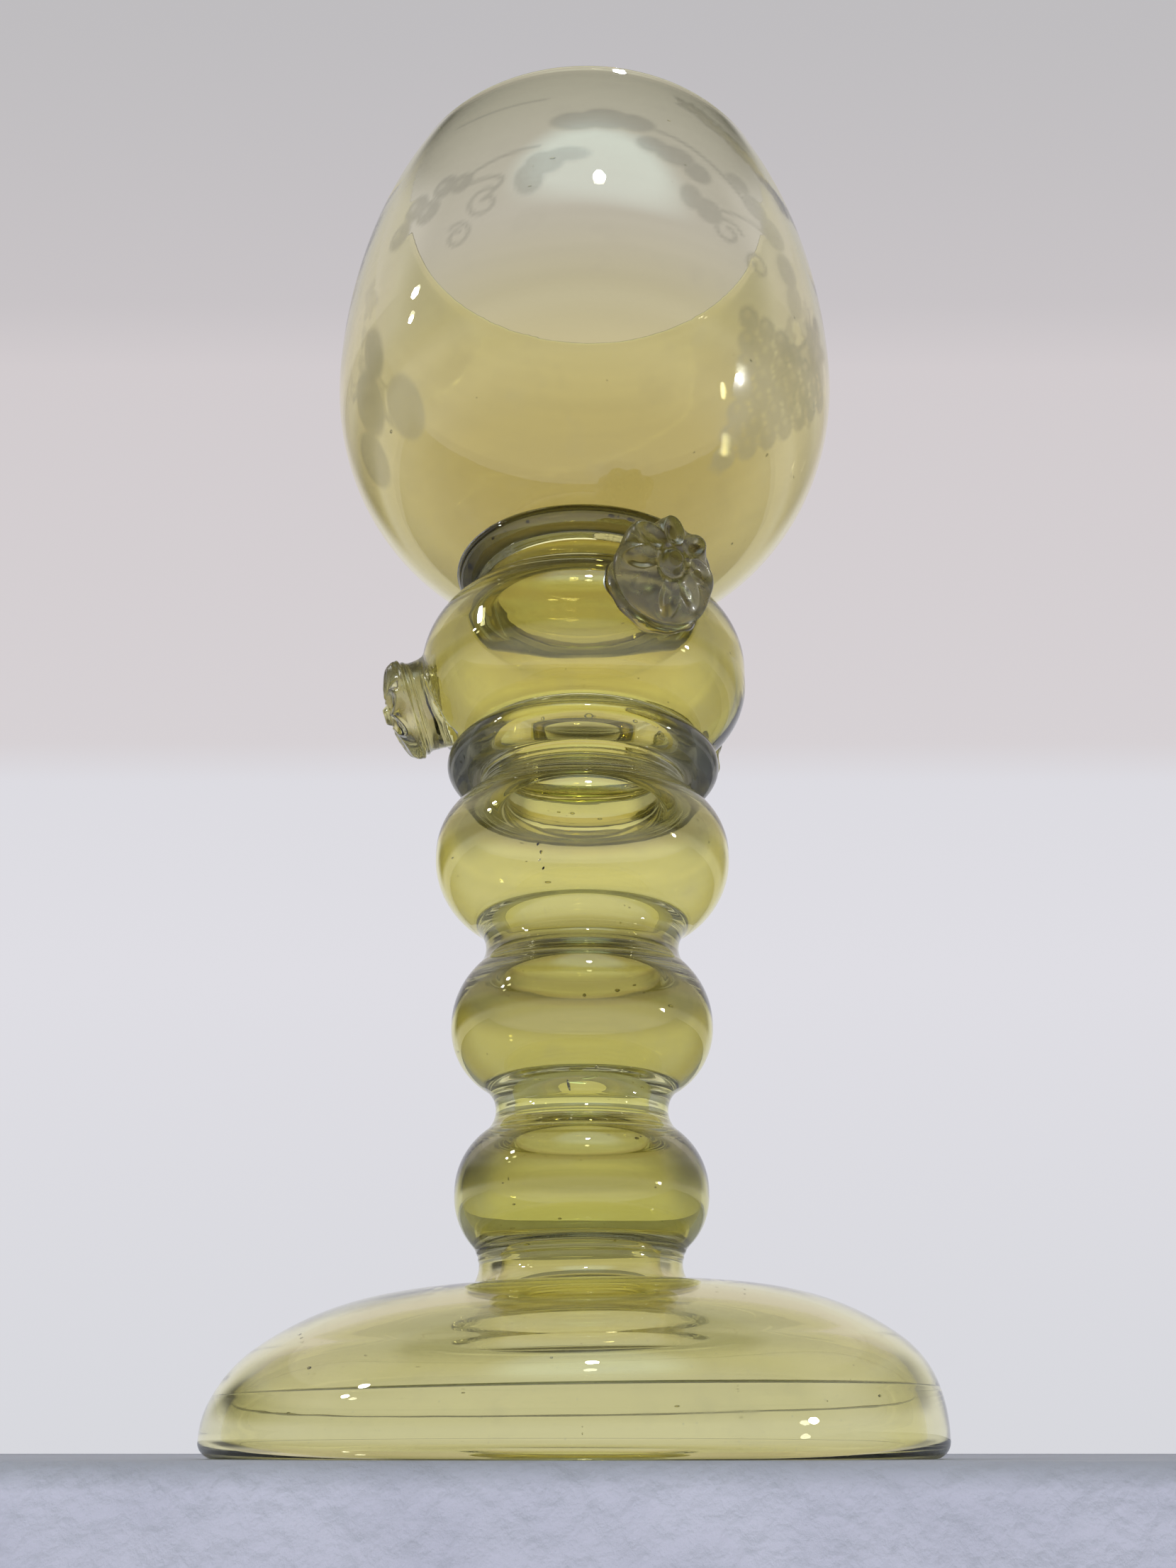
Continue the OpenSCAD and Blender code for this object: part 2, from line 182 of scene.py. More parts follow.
def ring_faces(rows, around, wrap):
    """Quads between the rows of a grid that closes round the axis, and from last row to first if it wraps."""
    i = np.arange(rows if wrap else rows - 1)[:, None]
    j = np.arange(around)[None, :]
    k, m = (i + 1) % rows, (j + 1) % around
    quads = [i * around + j, i * around + m, k * around + m, k * around + j]
    return np.stack(np.broadcast_arrays(*quads), -1).reshape(-1, 4)


def fan_faces(pole, first, around, upper):
    """Triangles from a pole to the row that starts at first. They face up at an upper pole and else down."""
    j = np.arange(around)
    m = (j + 1) % around
    ends = (j, m) if upper else (m, j)
    return np.stack([np.full(around, pole), first + ends[0], first + ends[1]], 1)


def hollow_balls(centres, axes):
    """Closed voids in the glass: unit balls stretched along three axes each, with faces turned inwards."""
    rings, around = 5, 10
    lat = np.linspace(-np.pi / 2, np.pi / 2, rings + 2)[1:-1, None]
    ball = polar(np.cos(lat), all_round(around), np.sin(lat))
    ball = np.concatenate([ball.reshape(-1, 3), [[0, 0, -1], [0, 0, 1]]])
    points = centres[:, None, :] + np.einsum("bk,nkc->nbc", ball, axes)
    count = rings * around
    quads = ring_faces(rings, around, False)[:, ::-1]
    fans = [fan_faces(count, 0, around, False), fan_faces(count + 1, count - around, around, True)]
    tris = np.concatenate(fans)[:, ::-1]
    start = (np.arange(len(centres)) * len(ball))[:, None, None]
    return points.reshape(-1, 3), [(quads + start).reshape(-1, 4), (tris + start).reshape(-1, 3)]


def seeds(middle, wall, count):
    """Seed bubbles about points of a wall's middle line, drawn out round the axis as the glass was turned."""
    pick = rng.integers(0, len(middle), count)
    t = rng.uniform(0, 2 * np.pi, count)
    size = np.minimum(0.05 + rng.gamma(2.0, 0.06, count), 0.3 * wall[pick])
    long = size * rng.uniform(1.0, 2.8, count)
    centres = polar(middle[pick, 0], t, middle[pick, 1])
    around = polar(1.0, t + np.pi / 2, 0.0) * long[:, None]
    out = polar(1.0, t, 0.0) * 0.8 * size[:, None]
    return centres, np.stack([around, out, polar(0.0, t, size)], 1)


def fissure(turn, r, z, lie, half):
    """Crack in a wall: a thin sheet of air about a point, leaning across the wall, its length at an angle."""
    t, a = np.radians(turn - 90), np.radians(lie)
    out, side, up = polar(1.0, t, 0.0), polar(1.0, t + np.pi / 2, 0.0), np.array([0, 0, 1])
    run = side * np.sin(a) + up * np.cos(a)
    across = 0.6 * out + 0.8 * np.cross(run, out)
    return r * out + z * up, np.stack([run * half, across * CRACK_W, np.cross(run, across) * CRACK_T])


def cracked(voids, cracks):
    """Voids with the sheets of cracks after them."""
    centres, axes = voids
    for crack in cracks:
        centre, sheet = fissure(*crack)
        centres, axes = np.concatenate([centres, [centre]]), np.concatenate([axes, [sheet]])
    return centres, axes


def glass_mesh(name, points, faces, voids=None):
    """Mesh object from points in millimetres, faces as arrays of equal rows, and voids as (centres, axes)."""
    if voids is not None:
        more, void_faces = hollow_balls(*voids)
        faces = faces + [f + len(points) for f in void_faces]
        points = np.concatenate([points, more])
    mesh = bpy.data.meshes.new(name)
    mesh.from_pydata((blown(points) * MM).tolist(), [], [f for rows in faces for f in rows.tolist()])
    mesh.polygons.foreach_set("use_smooth", np.ones(len(mesh.polygons), bool))
    mesh.set_sharp_from_angle(angle=np.radians(SHARP_ANGLE))
    piece = bpy.data.objects.new(name, mesh)
    scene.collection.objects.link(piece)
    return piece


def turn_points(outline, around):
    """Carry an outline of (radius, height) round the axis."""
    return polar(outline[:, 0, None], all_round(around), outline[:, 1, None])


def fuse(piece, faces):
    """Give the faces that lie against another gather the material of a fused joint."""
    kind = np.zeros(len(piece.data.polygons), int)
    kind[:len(faces)] = faces
    piece.data.polygons.foreach_set("material_index", kind)
    return piece


def turned(name, outline, around, voids, joints, seats=()):
    """Closed ring of glass: a closed outline carried round the axis, outer wall first and upwards. The rows
    of faces named as joints lie against the next gather, as do those round each seat of (point, radius)."""
    points = turn_points(outline, around)
    faces = ring_faces(len(outline), around, True)
    touch = np.repeat(np.isin(np.arange(len(outline)), joints), around)
    centres = points.reshape(-1, 3)[faces].mean(1)
    outside = np.repeat(np.arange(len(outline)) < len(outline) // 2, around)
    for seat, reach in seats:
        touch = touch | (outside & (np.linalg.norm(centres - seat, axis=1) < reach))
    return fuse(glass_mesh(name, points.reshape(-1, 3), [faces], voids), touch)


def foot():
    """Folded dome foot: edge, shoulder, crown and sweep outside, and inside back down to the fold's lip."""
    inner = FOOT_SHOULDER_R - FOOT_WALL
    fold_in, fold_mid = inner - FOLD_W, inner - FOLD_W / 2
    rise = np.degrees(np.arcsin((FOLD_H - FOOT_SIDE_H) / fold_mid))
    fold_end = SHOULDER_C + fold_mid * np.cos(np.radians(rise))
    lip, sweep = FOLD_W / 3, FOOT_NECK_SWEEP + FOOT_WALL
    top = FOOT_Z - SEAM / 2
    outside = [
        arc(FOOT_R - FOOT_EDGE_R, FOOT_EDGE_R, FOOT_EDGE_R, -90, 0, 16),
        arc(SHOULDER_C, FOOT_SIDE_H, FOOT_SHOULDER_R, 0, FOOT_SHOULDER_ANGLE, 28),
        arc(CROWN_C, CROWN_CZ, FOOT_CROWN_R, FOOT_SHOULDER_ANGLE, 90, 28)[1:],
        arc(FOOT_NECK_R + FOOT_NECK_SWEEP, top, FOOT_NECK_SWEEP, 270, 180, 24),
    ]
    inside = [
        arc(SHOULDER_C + fold_in + lip, lip, lip, 270, 180, 10),
        arc(SHOULDER_C, FOOT_SIDE_H, fold_in, 0, rise, 12),
        arc(fold_end, FOLD_H, FOLD_W / 2, 180 + rise, rise, 16)[1:],
        arc(SHOULDER_C, FOOT_SIDE_H, inner, rise, FOOT_SHOULDER_ANGLE, 24)[1:],
        arc(CROWN_C, CROWN_CZ, FOOT_CROWN_R - FOOT_WALL, FOOT_SHOULDER_ANGLE, 90, 28)[1:],
        arc(FOOT_NECK_R - FOOT_NECK_WALL + sweep, top, sweep, 270, 180, 24),
    ]
    middle = np.concatenate([
        arc(SHOULDER_C, FOOT_SIDE_H, FOOT_SHOULDER_R - FOOT_WALL / 2, 5, FOOT_SHOULDER_ANGLE, 40),
        arc(CROWN_C, CROWN_CZ, FOOT_CROWN_R - FOOT_WALL / 2, FOOT_SHOULDER_ANGLE, 82, 30)])
    outside = np.concatenate(outside)
    outline = np.concatenate([outside, np.concatenate(inside)[::-1]])
    bubbles = seeds(middle, np.full(len(middle), FOOT_WALL), 46)
    return turned("blown_foot", outline, 288, bubbles, [len(outside) - 1])


def bulb(name, low, belly, high, lines=(), cracks=()):
    """Hollow bulb by (radius, wall, height) at its low neck and its high neck, and at its belly by (radius,
    wall, height, height above the straight side)."""
    z_low, z_high = low[2] + SEAM / 2, high[2] - SEAM / 2
    outer = bulb_side(low[0], z_low, belly[0], belly[2], belly[3], high[0], z_high, BELLY_SHARE)
    inner = hollow_side(
        low[0] - low[1], z_low, belly[0] - belly[1], belly[2], belly[3], high[0] - high[1], z_high)
    middle, wall = (outer + inner[:-1]) / 2, np.hypot(*(outer - inner[:-1]).T)
    inward = slice(PLAIN_ROWS, -PLAIN_ROWS)
    voids = cracked(seeds(middle[inward], wall[inward], 26), cracks)
    if lines:
        outer = ridged(outer, lines)
    joints = [len(outer) - 1, len(outer) + len(inner) - 1]
    return turned(name, np.concatenate([outer, inner[::-1]]), 224, voids, joints)


def upper_bulb():
    """Hollow bulb drawn up into the throat, with the fine lines that the jacks left round its neck."""
    low, side_top, bore = HIGH_WAIST_Z + SEAM / 2, UPPER_Z + UPPER_SIDE, THROAT_R - THROAT_WALL
    outer = bulb_side(HIGH_WAIST_R, low, UPPER_R, UPPER_Z, side_top, THROAT_R, THROAT_Z, BELLY_SHARE)
    inner = hollow_side(
        HIGH_WAIST_R - HIGH_WAIST_WALL, low, UPPER_R - UPPER_WALL, UPPER_Z, side_top, bore, THROAT_Z)
    middle, wall = (outer + inner[:-1]) / 2, np.hypot(*(outer - inner[:-1]).T)
    throat = np.linspace(THROAT_Z, CORDON_Z - SEAM / 2, 24)[1:]
    outer = np.concatenate([outer, np.stack([np.full(len(throat), THROAT_R), throat], 1)])
    outer = ridged(outer, THROAT_LINES)
    outline = np.concatenate([outer, [[bore, throat[-1]]], inner[::-1]])
    under_ring = np.flatnonzero(outer[:, 1] > UNDER_CORDON)
    joints = np.concatenate([under_ring, [len(outline) - 1]])
    inward = slice(PLAIN_ROWS, -PLAIN_ROWS)
    voids = cracked(seeds(middle[inward], wall[inward], 36), UPPER_MARKS)
    return turned("upper_hollow_bulb", outline, 240, voids, joints)


def knop_outside():
    """Outer side of the prunted knop, from the throat to the top neck."""
    return bulb_side(
        THROAT_R, THROAT_TOP_Z, KNOP_R, KNOP_Z, KNOP_SIDE_Z, TOP_NECK_R, TOP_NECK_Z, FULL_BELLY_SHARE)


def bowl_under(r):
    """Height of the bowl's round underside at a radius."""
    return BOWL_Z - np.sqrt((BOWL_R + SEAM) ** 2 - r ** 2)


def prunted_knop():
    """Largest bulb: its outer side, the neck's top trimmed to the bowl's underside, and its inner side."""
    low = CORDON_Z + SEAM / 2
    outer = knop_outside()
    bore, belly = THROAT_R - THROAT_WALL, KNOP_R - KNOP_WALL
    inner = np.concatenate([
        [[bore, THROAT_TOP_Z]], swell(belly, KNOP_Z, bore, THROAT_TOP_Z + BORE_H, HOLLOW_SHARE)[::-1],
        swell(belly, KNOP_SIDE_Z, TOP_NECK_R - TOP_NECK_WALL, TOP_NECK_Z, BELLY_SHARE)])
    middle, wall = (outer + inner[1:]) / 2, np.hypot(*(outer - inner[1:]).T)
    outer = ridged(outer, KNOP_LINES)
    rim = np.linspace(TOP_NECK_R, TOP_NECK_R - TOP_NECK_WALL, 8)
    top = np.stack([rim, bowl_under(rim)], 1)
    outline = np.concatenate([[[THROAT_R, low]], outer, top, inner[::-1], [[bore, low]]])
    seats = [(prunt_seat(turn, tilt)[0], PRUNT_WAIST_R) for turn, tilt, *_ in PRUNTS.values()]
    free = slice(KNOP_PLAIN_ROWS, -KNOP_PLAIN_ROWS)
    bubbles = seeds(middle[free], wall[free], 40)
    return turned("prunted_hollow_knop", outline, 256, bubbles, [0, len(outline) - 1], seats)


def wound_ring(name, r, t, z, keep, lap, fused):
    """Wound trail: a round section about (r - t/2, z), uneven round the axis, thicker where its end laps over
    at an angle in degrees, and pushed out of the walls that it lies on. It may be fused to them."""
    around = 288
    turn = all_round(around)
    section = arc(0, 0, t / 2, -180, 180, 72)[:-1]
    end = (turn - np.radians(lap) + np.pi) % (2 * np.pi) - np.pi
    full = 0.97 + 0.018 * np.sin(turn + 2) + 0.012 * np.sin(3 * turn) + 0.05 * np.exp(-((end / 0.16) ** 2))
    rise = 0.16 * np.sin(2 * turn + 1) + 0.08 * np.sin(5 * turn)
    grid = np.stack([
        r - t / 2 + section[:, 0, None] * full, z + rise + section[:, 1, None] * full], -1)
    laid = keep(grid.reshape(-1, 2)).reshape(grid.shape)
    touch = (np.abs(laid - grid).sum(-1) > 1e-6) & fused
    touch = (touch & np.roll(touch, -1, 0)) & np.roll(touch & np.roll(touch, -1, 0), -1, 1)
    points = polar(laid[..., 0], turn, laid[..., 1])
    middle = np.array([[r - t / 2 + 0.4, z]])
    bubbles = seeds(np.repeat(middle, 20, 0), np.full(20, 2.4), 20)
    faces = [ring_faces(len(section), around, True)]
    return fuse(glass_mesh(name, points.reshape(-1, 3), faces, bubbles), touch.ravel())


def off_throat(section):
    """Flatten a section against the throat and the knop above it."""
    wall = np.interp(section[:, 1], knop_outside()[:, 1], knop_outside()[:, 0])
    return np.stack([np.maximum(section[:, 0], wall + SEAM), section[:, 1]], 1)


def off_bowl(section):
    """Flatten a section against the top neck and the bowl's underside."""
    r = np.maximum(section[:, 0], TOP_NECK_R + SEAM)
    reach = BOWL_R + SEAM
    away = np.hypot(r, section[:, 1] - BOWL_Z)
    push = np.maximum(reach / away, 1)
    return np.stack([r * push, BOWL_Z + (section[:, 1] - BOWL_Z) * push], 1)


def prunt_seat(turn, tilt):
    """Where a prunt sits on the knop's upper or lower round, with its directions out, across and above."""
    upper = FULL_BELLY_SHARE * ((KNOP_R - TOP_NECK_R) ** 2 + KNOP_FALL ** 2) / (2 * (KNOP_R - TOP_NECK_R))
    lower = FULL_BELLY_SHARE * ((KNOP_R - THROAT_R) ** 2 + KNOP_RISE ** 2) / (2 * (KNOP_R - THROAT_R))
    belly, belly_z = (upper, KNOP_SIDE_Z) if tilt >= 0 else (lower, KNOP_Z)
    up, side = np.radians(tilt), np.radians(turn - 90)
    seat_r = KNOP_R - belly * (1 - np.cos(up))
    seat = polar(seat_r, side, belly_z + belly * np.sin(up))
    out, across = polar(np.cos(up), side, np.sin(up)), polar(1.0, side + np.pi / 2, 0.0)
    return seat, out, across, np.cross(out, across)


def eased(knots, n):
    """Smooth line through knots: n points on each cubic whose end slopes follow the neighbouring knots."""
    k = np.array(knots, float)
    ends = np.concatenate([[2 * k[0] - k[1]], k, [2 * k[-1] - k[-2]]])
    f = np.linspace(0, 1, n, endpoint=False)[:, None]
    rows = []
    for p0, p1, p2, p3 in zip(ends, ends[1:], ends[2:], ends[3:]):
        bend = 2 * p0 - 5 * p1 + 4 * p2 - p3
        rows.append(p1 + 0.5 * f * (p2 - p0 + f * (bend + f * (3 * (p1 - p2) + p3 - p0))))
    return np.concatenate(rows + [k[-1:]])


def prunt(name, turn, tilt, roll, even, nod):
    """Stamped prunt about its own axis: a domed mass with petals and a boss on its face, and a spread root.

    A line from the pole down the side is carried round. Along its own slope's normal it is sunk by a long
    dimple in each petal and raised by a thin bead round the dimple, by a boss and by the folds of its side.
    The stamp pressed unevenly, so each petal has its own depth, and the edge is scalloped where it pressed
    hard. The face nods down by a slope, and the back follows the knop's wall.
    """
    around = 192
    t = all_round(around)[None, :]
    step = 2 * np.pi / PRUNT_PETALS
    petal = np.mod(np.rint((t - roll) / step).astype(int), PRUNT_PETALS)
    off = np.mod(t - roll + step / 2, step) - step / 2
    press = np.array([1.0, 1.0, 0.7, 0.2, 0.85, 0.45, 0.8, 1.0])[petal]
    hard = np.maximum(even, smooth(0.5 + 0.8 * np.sin(t)))
    line = eased([
        (0, PRUNT_H + PRUNT_DOME), (4.5, PRUNT_H + 1.3), (8.2, PRUNT_H + 0.2), (10.4, PRUNT_H - 1.5),
        (PRUNT_R + 0.2, PRUNT_H - 3.2), (PRUNT_WAIST_R + 0.4, 1.9), (PRUNT_WAIST_R, PRUNT_ROOT_H)], 18)
    slope = np.gradient(line, axis=0)
    slope = slope / np.hypot(*slope.T)[:, None]
    way = np.concatenate([[0], np.cumsum(np.hypot(*np.diff(line, axis=0).T))])[1:, None]
    a, h = line[1:, :1], line[1:, 1:]
    oval = np.hypot((way - 6.7) / 3.1, a * np.sin(off) / 2.0)
    dimple = -0.9 * press * smooth((1.15 - oval) / 0.85)
    bead = 0.2 * press * np.exp(-(((oval - 1.2) / 0.2) ** 2))
    boss = PRUNT_BOSS * smooth((2.6 - way) / 1.1) - 0.5 * np.exp(-(((way - 3.1) / 0.6) ** 2))
    low_side = smooth((4.2 - h) / 1.5) * smooth((h - 1.2) / 1.0)
    folds = 0.22 * even * np.sin(4.2 * h + 0.8 * np.sin(3 * t)) * low_side
    lift = dimple + bead + boss + folds
    flare = smooth((way - 4.5) / 4) * (1 - smooth((way - 11) / 4))
    scallop = 0.035 + 0.075 * np.cos(PRUNT_PETALS * (t - roll))
    side_a = (a - lift * slope[1:, 1:]) * (1 + hard * flare * scallop)
    side_h = h + lift * slope[1:, :1]
    q = np.linspace(0, 1, 14)[1:, None]
    fold = 0.3 * np.cos(5 * t + 2 * roll) + 0.18 * np.cos(11 * t + roll)
    root_r = PRUNT_WAIST_R + PRUNT_ROOT_W + fold
    root_a = PRUNT_WAIST_R + (root_r - PRUNT_WAIST_R) * q ** 2
    back_a = root_r * np.linspace(1, 0, 20)[1:-1, None]
    seat, out, across, above = prunt_seat(turn, tilt)

    def place(a, h):
        """Point of the prunt's own radius and height, in the object's frame."""
        u, v = a * np.cos(t), a * np.sin(t)
        h = h + nod * v * smooth(h / PRUNT_H)
        return seat + u[..., None] * across + v[..., None] * above + h[..., None] * out

    def wall(a):
        """Height at which the prunt's own direction meets the knop, by halving."""
        lo, hi = np.full_like(a + 0 * t, -8.0), np.full_like(a + 0 * t, 3.0)
        side_line = knop_outside()
        for _ in range(40):
            mid = (lo + hi) / 2
            p = place(a, mid)
            inside = np.hypot(p[..., 0], p[..., 1]) < np.interp(p[..., 2], side_line[:, 1], side_line[:, 0])
            lo, hi = np.where(inside, mid, lo), np.where(inside, hi, mid)
        return hi + SEAM

    root_h = PRUNT_ROOT_H + (wall(root_r) - PRUNT_ROOT_H) * (1 - (1 - q) ** 1.6)
    grids = [(side_a, side_h), (root_a, root_h), (back_a, wall(back_a))]
    rows = np.concatenate([place(a, h) for a, h in grids])
    front_h, back_h = PRUNT_H + PRUNT_DOME + PRUNT_BOSS, float(wall(np.zeros((1, 1)))[0, 0])
    poles = np.stack([seat + front_h * out, seat + back_h * out])
    points = np.concatenate([rows.reshape(-1, 3), poles])
    n, count = rows.shape[0], rows.shape[0] * around
    quads = ring_faces(n, around, False)[:, ::-1]
    front = fan_faces(count, 0, around, True)
    back = fan_faces(count + 1, (n - 1) * around, around, False)
    piece = glass_mesh(name, points, [quads, front, back])
    joined = np.repeat(np.arange(n - 1) >= n - len(back_a), around)
    return fuse(piece, np.concatenate([joined, np.zeros(around, bool), np.ones(around, bool)]))


def near_path(du, dv, us, vs, width):
    """Soft stroke along the points (us, vs), its edge fading over 1 mm about half its width."""
    away = np.full(du.shape, 99.0)
    for u, v in zip(us, vs):
        away = np.minimum(away, np.hypot(du - u, dv - v))
    return smooth(width / 2 + 0.5 - away)


def curl(size, start, sweep, shrink):
    """Tendril: points of a spiral from an angle over a sweep in degrees, shrinking to a share."""
    f = np.linspace(0, 1, 40)
    a = np.radians(start + sweep * f)
    r = size * (1 - (1 - shrink) * f)
    return r * np.cos(a), r * np.sin(a)


def leaf_mask(du, dv, size, lie):
    """Vine leaf: five lobes about its stalk's end, notched between, with clear veins along the lobes."""
    a = np.arctan2(dv, du) - np.radians(lie)
    a = np.mod(a + np.pi, 2 * np.pi) - np.pi
    r = np.hypot(du, dv)
    reach = 0.5 + 0 * r
    vein = 0 * r
    for lobe, long in ((0, 0.8), (62, 1.0), (-62, 1.0), (124, 0.8), (-124, 0.8)):
        away = np.abs(np.mod(a - np.radians(lobe) + np.pi, 2 * np.pi) - np.pi)
        reach = np.maximum(reach, long * (1 - 0.45 * smooth(away / 0.66)))
        line = r * np.sin(np.minimum(away, np.pi / 2))
        vein = np.maximum(vein, smooth((0.7 - line) / 0.7) * (r < 0.7 * long * size))
    edge = size * reach * (1 + 0.02 * np.cos(17 * a))
    return smooth((edge - r) / 2.4 + 0.5) * (1 - 0.2 * vein)


def berry_mask(du, dv, size):
    """Grape: a matt disc with a small clear light in it."""
    light = np.hypot(du + 0.25 * size, dv - 0.25 * size)
    clear = 0.35 * smooth((0.3 * size - light) / 0.6 + 0.5)
    return smooth(size - np.hypot(du, dv) + 0.5) * (1 - clear)


def blot_mask(du, dv, wide, tall):
    """Soft oval of matt glass, part of a leaf's lobe."""
    return smooth((1 - np.hypot(du / wide, dv / tall)) * min(wide, tall) / 1.3 + 0.5)


def vine(turn, r, v, z):
    """Matt engraving from 0 to 1 on the bowl, by turn to the right in degrees, radius, way up and height."""
    mask = np.zeros(turn.shape)

    def about(turn0, z0):
        """Distances in millimetres from a point of the bowl, round it and up it."""
        gap = np.mod(turn - turn0 + 180, 360) - 180
        return r * np.radians(gap), v - np.interp(z0, z[:, 0], v[:, 0])

    def cut(shape):
        np.maximum(mask, shape, out=mask)

    def leaf(turn0, z0, size, lie):
        cut(leaf_mask(*about(turn0, z0), size, lie))

    def bunch(turn0, z0, size, rows):
        du, dv = about(turn0, z0)
        for i in range(rows):
            for k in range(rows - i):
                at = (k - (rows - i - 1) / 2) * 1.85 * size - 1.2 * i
                cut(berry_mask(du - at, dv + i * 1.65 * size, size))

    def stroke(turn0, z0, us, vs, width):
        cut(near_path(*about(turn0, z0), us, vs, width))

    def band(z0, first, last, width):
        gap = np.mod(turn - (first + last) / 2 + 180, 360) - 180
        _, dv = about(first, z0)
        ends = smooth(((last - first) / 2 - np.abs(gap)) / 2)
        cut(smooth((width / 2 + 0.3 - np.abs(dv)) / 0.6) * ends)

    bend = np.linspace(0, 1, 50)
    band(281.5, -34, -8, 0.9)
    for turn0, z0, size in (
            (-44, 251, 3.8), (-39.5, 256.5, 3.9), (-35.5, 252.5, 3.6), (-31.5, 258, 3.5), (-27, 256.5, 3.0)):
        cut(berry_mask(*about(turn0, z0), size))
    stroke(-22, 255, -4 + 9 * np.sin(2.6 * bend), 2 * bend - 9 * bend ** 2, 1.2)
    stroke(-21, 247, *curl(4.6, 60, 400, 0.3), 1.1)
    stroke(-27, 240, *curl(3.6, 120, -420, 0.35), 1.1)
    stroke(-10, 262, -16 * bend, -4 * bend ** 2, 1.0)
    for turn0, z0, wide, tall, full in (
            (-2, 270.8, 6, 3.8, 1), (4.5, 272, 6, 4.4, 1), (10.5, 271.5, 5.5, 3.6, 1),
            (-11.5, 251.5, 3.4, 5.2, 1), (-8.5, 256, 4.5, 4, 1), (-3.5, 258.3, 5, 2.6, 1),
            (14.5, 264, 3.8, 3, 1), (19.5, 262, 5, 3.6, 1), (24.5, 258.5, 3.6, 3.6, 1),
            (22.5, 249.5, 2.8, 4, 0.9), (26.5, 247, 3.6, 3.8, 0.9), (35.5, 262, 3.6, 3.2, 0.8),
            (40, 257, 4.2, 4, 0.8), (45, 252.5, 4.6, 4.6, 0.8), (49, 244, 4, 5, 0.9),
            (51.5, 237, 3.4, 5, 0.9), (-49, 210, 5.6, 7.6, 1), (-54, 225, 4, 6.5, 1),
            (-61, 217, 6, 8, 1), (-70, 208.5, 6, 7, 1)):
        cut(full * blot_mask(*about(turn0, z0), wide, tall))
    stroke(22, 264, -6 + 22 * bend, 6 - 14 * bend ** 1.6, 1.2)
    stroke(30, 249, 17 * bend, 1.5 * np.sin(3 * bend), 1.0)
    stroke(31, 243, *curl(4.2, 20, 430, 0.3), 1.1)
    stroke(39, 238, *curl(3.4, 200, -400, 0.35), 1.1)
    for i in range(8):
        leaf(27 + 3.6 * i, 287 - 2.4 * i, 5.0, 70 - 35 * (i % 2))
    stroke(-53, 209, -2 - 13 * bend, 14 * bend + 5 * np.sin(3 * bend), 1.3)
    bunch(54, 224, 3.0, 7)
    leaf(63, 232, 10.0, 30)
    stroke(53, 224, 6 * np.sin(2 * bend), 16 * bend, 1.3)
    for turn0 in (-100, 92):
        leaf(turn0, 262, 11.0, 75)
        leaf(turn0 + 13, 272, 7.5, 200)
        stroke(turn0, 256, 34 * (bend - 0.5), 8 * np.sin(6.28 * bend), 1.2)
        stroke(turn0 + 10, 245, *curl(4.4, 40, 430, 0.3), 1.0)
        for k in range(4):
            cut(berry_mask(*about(turn0 - 12 + 4.6 * k, 252 + 3 * (k % 2)), 2.8))
    return mask


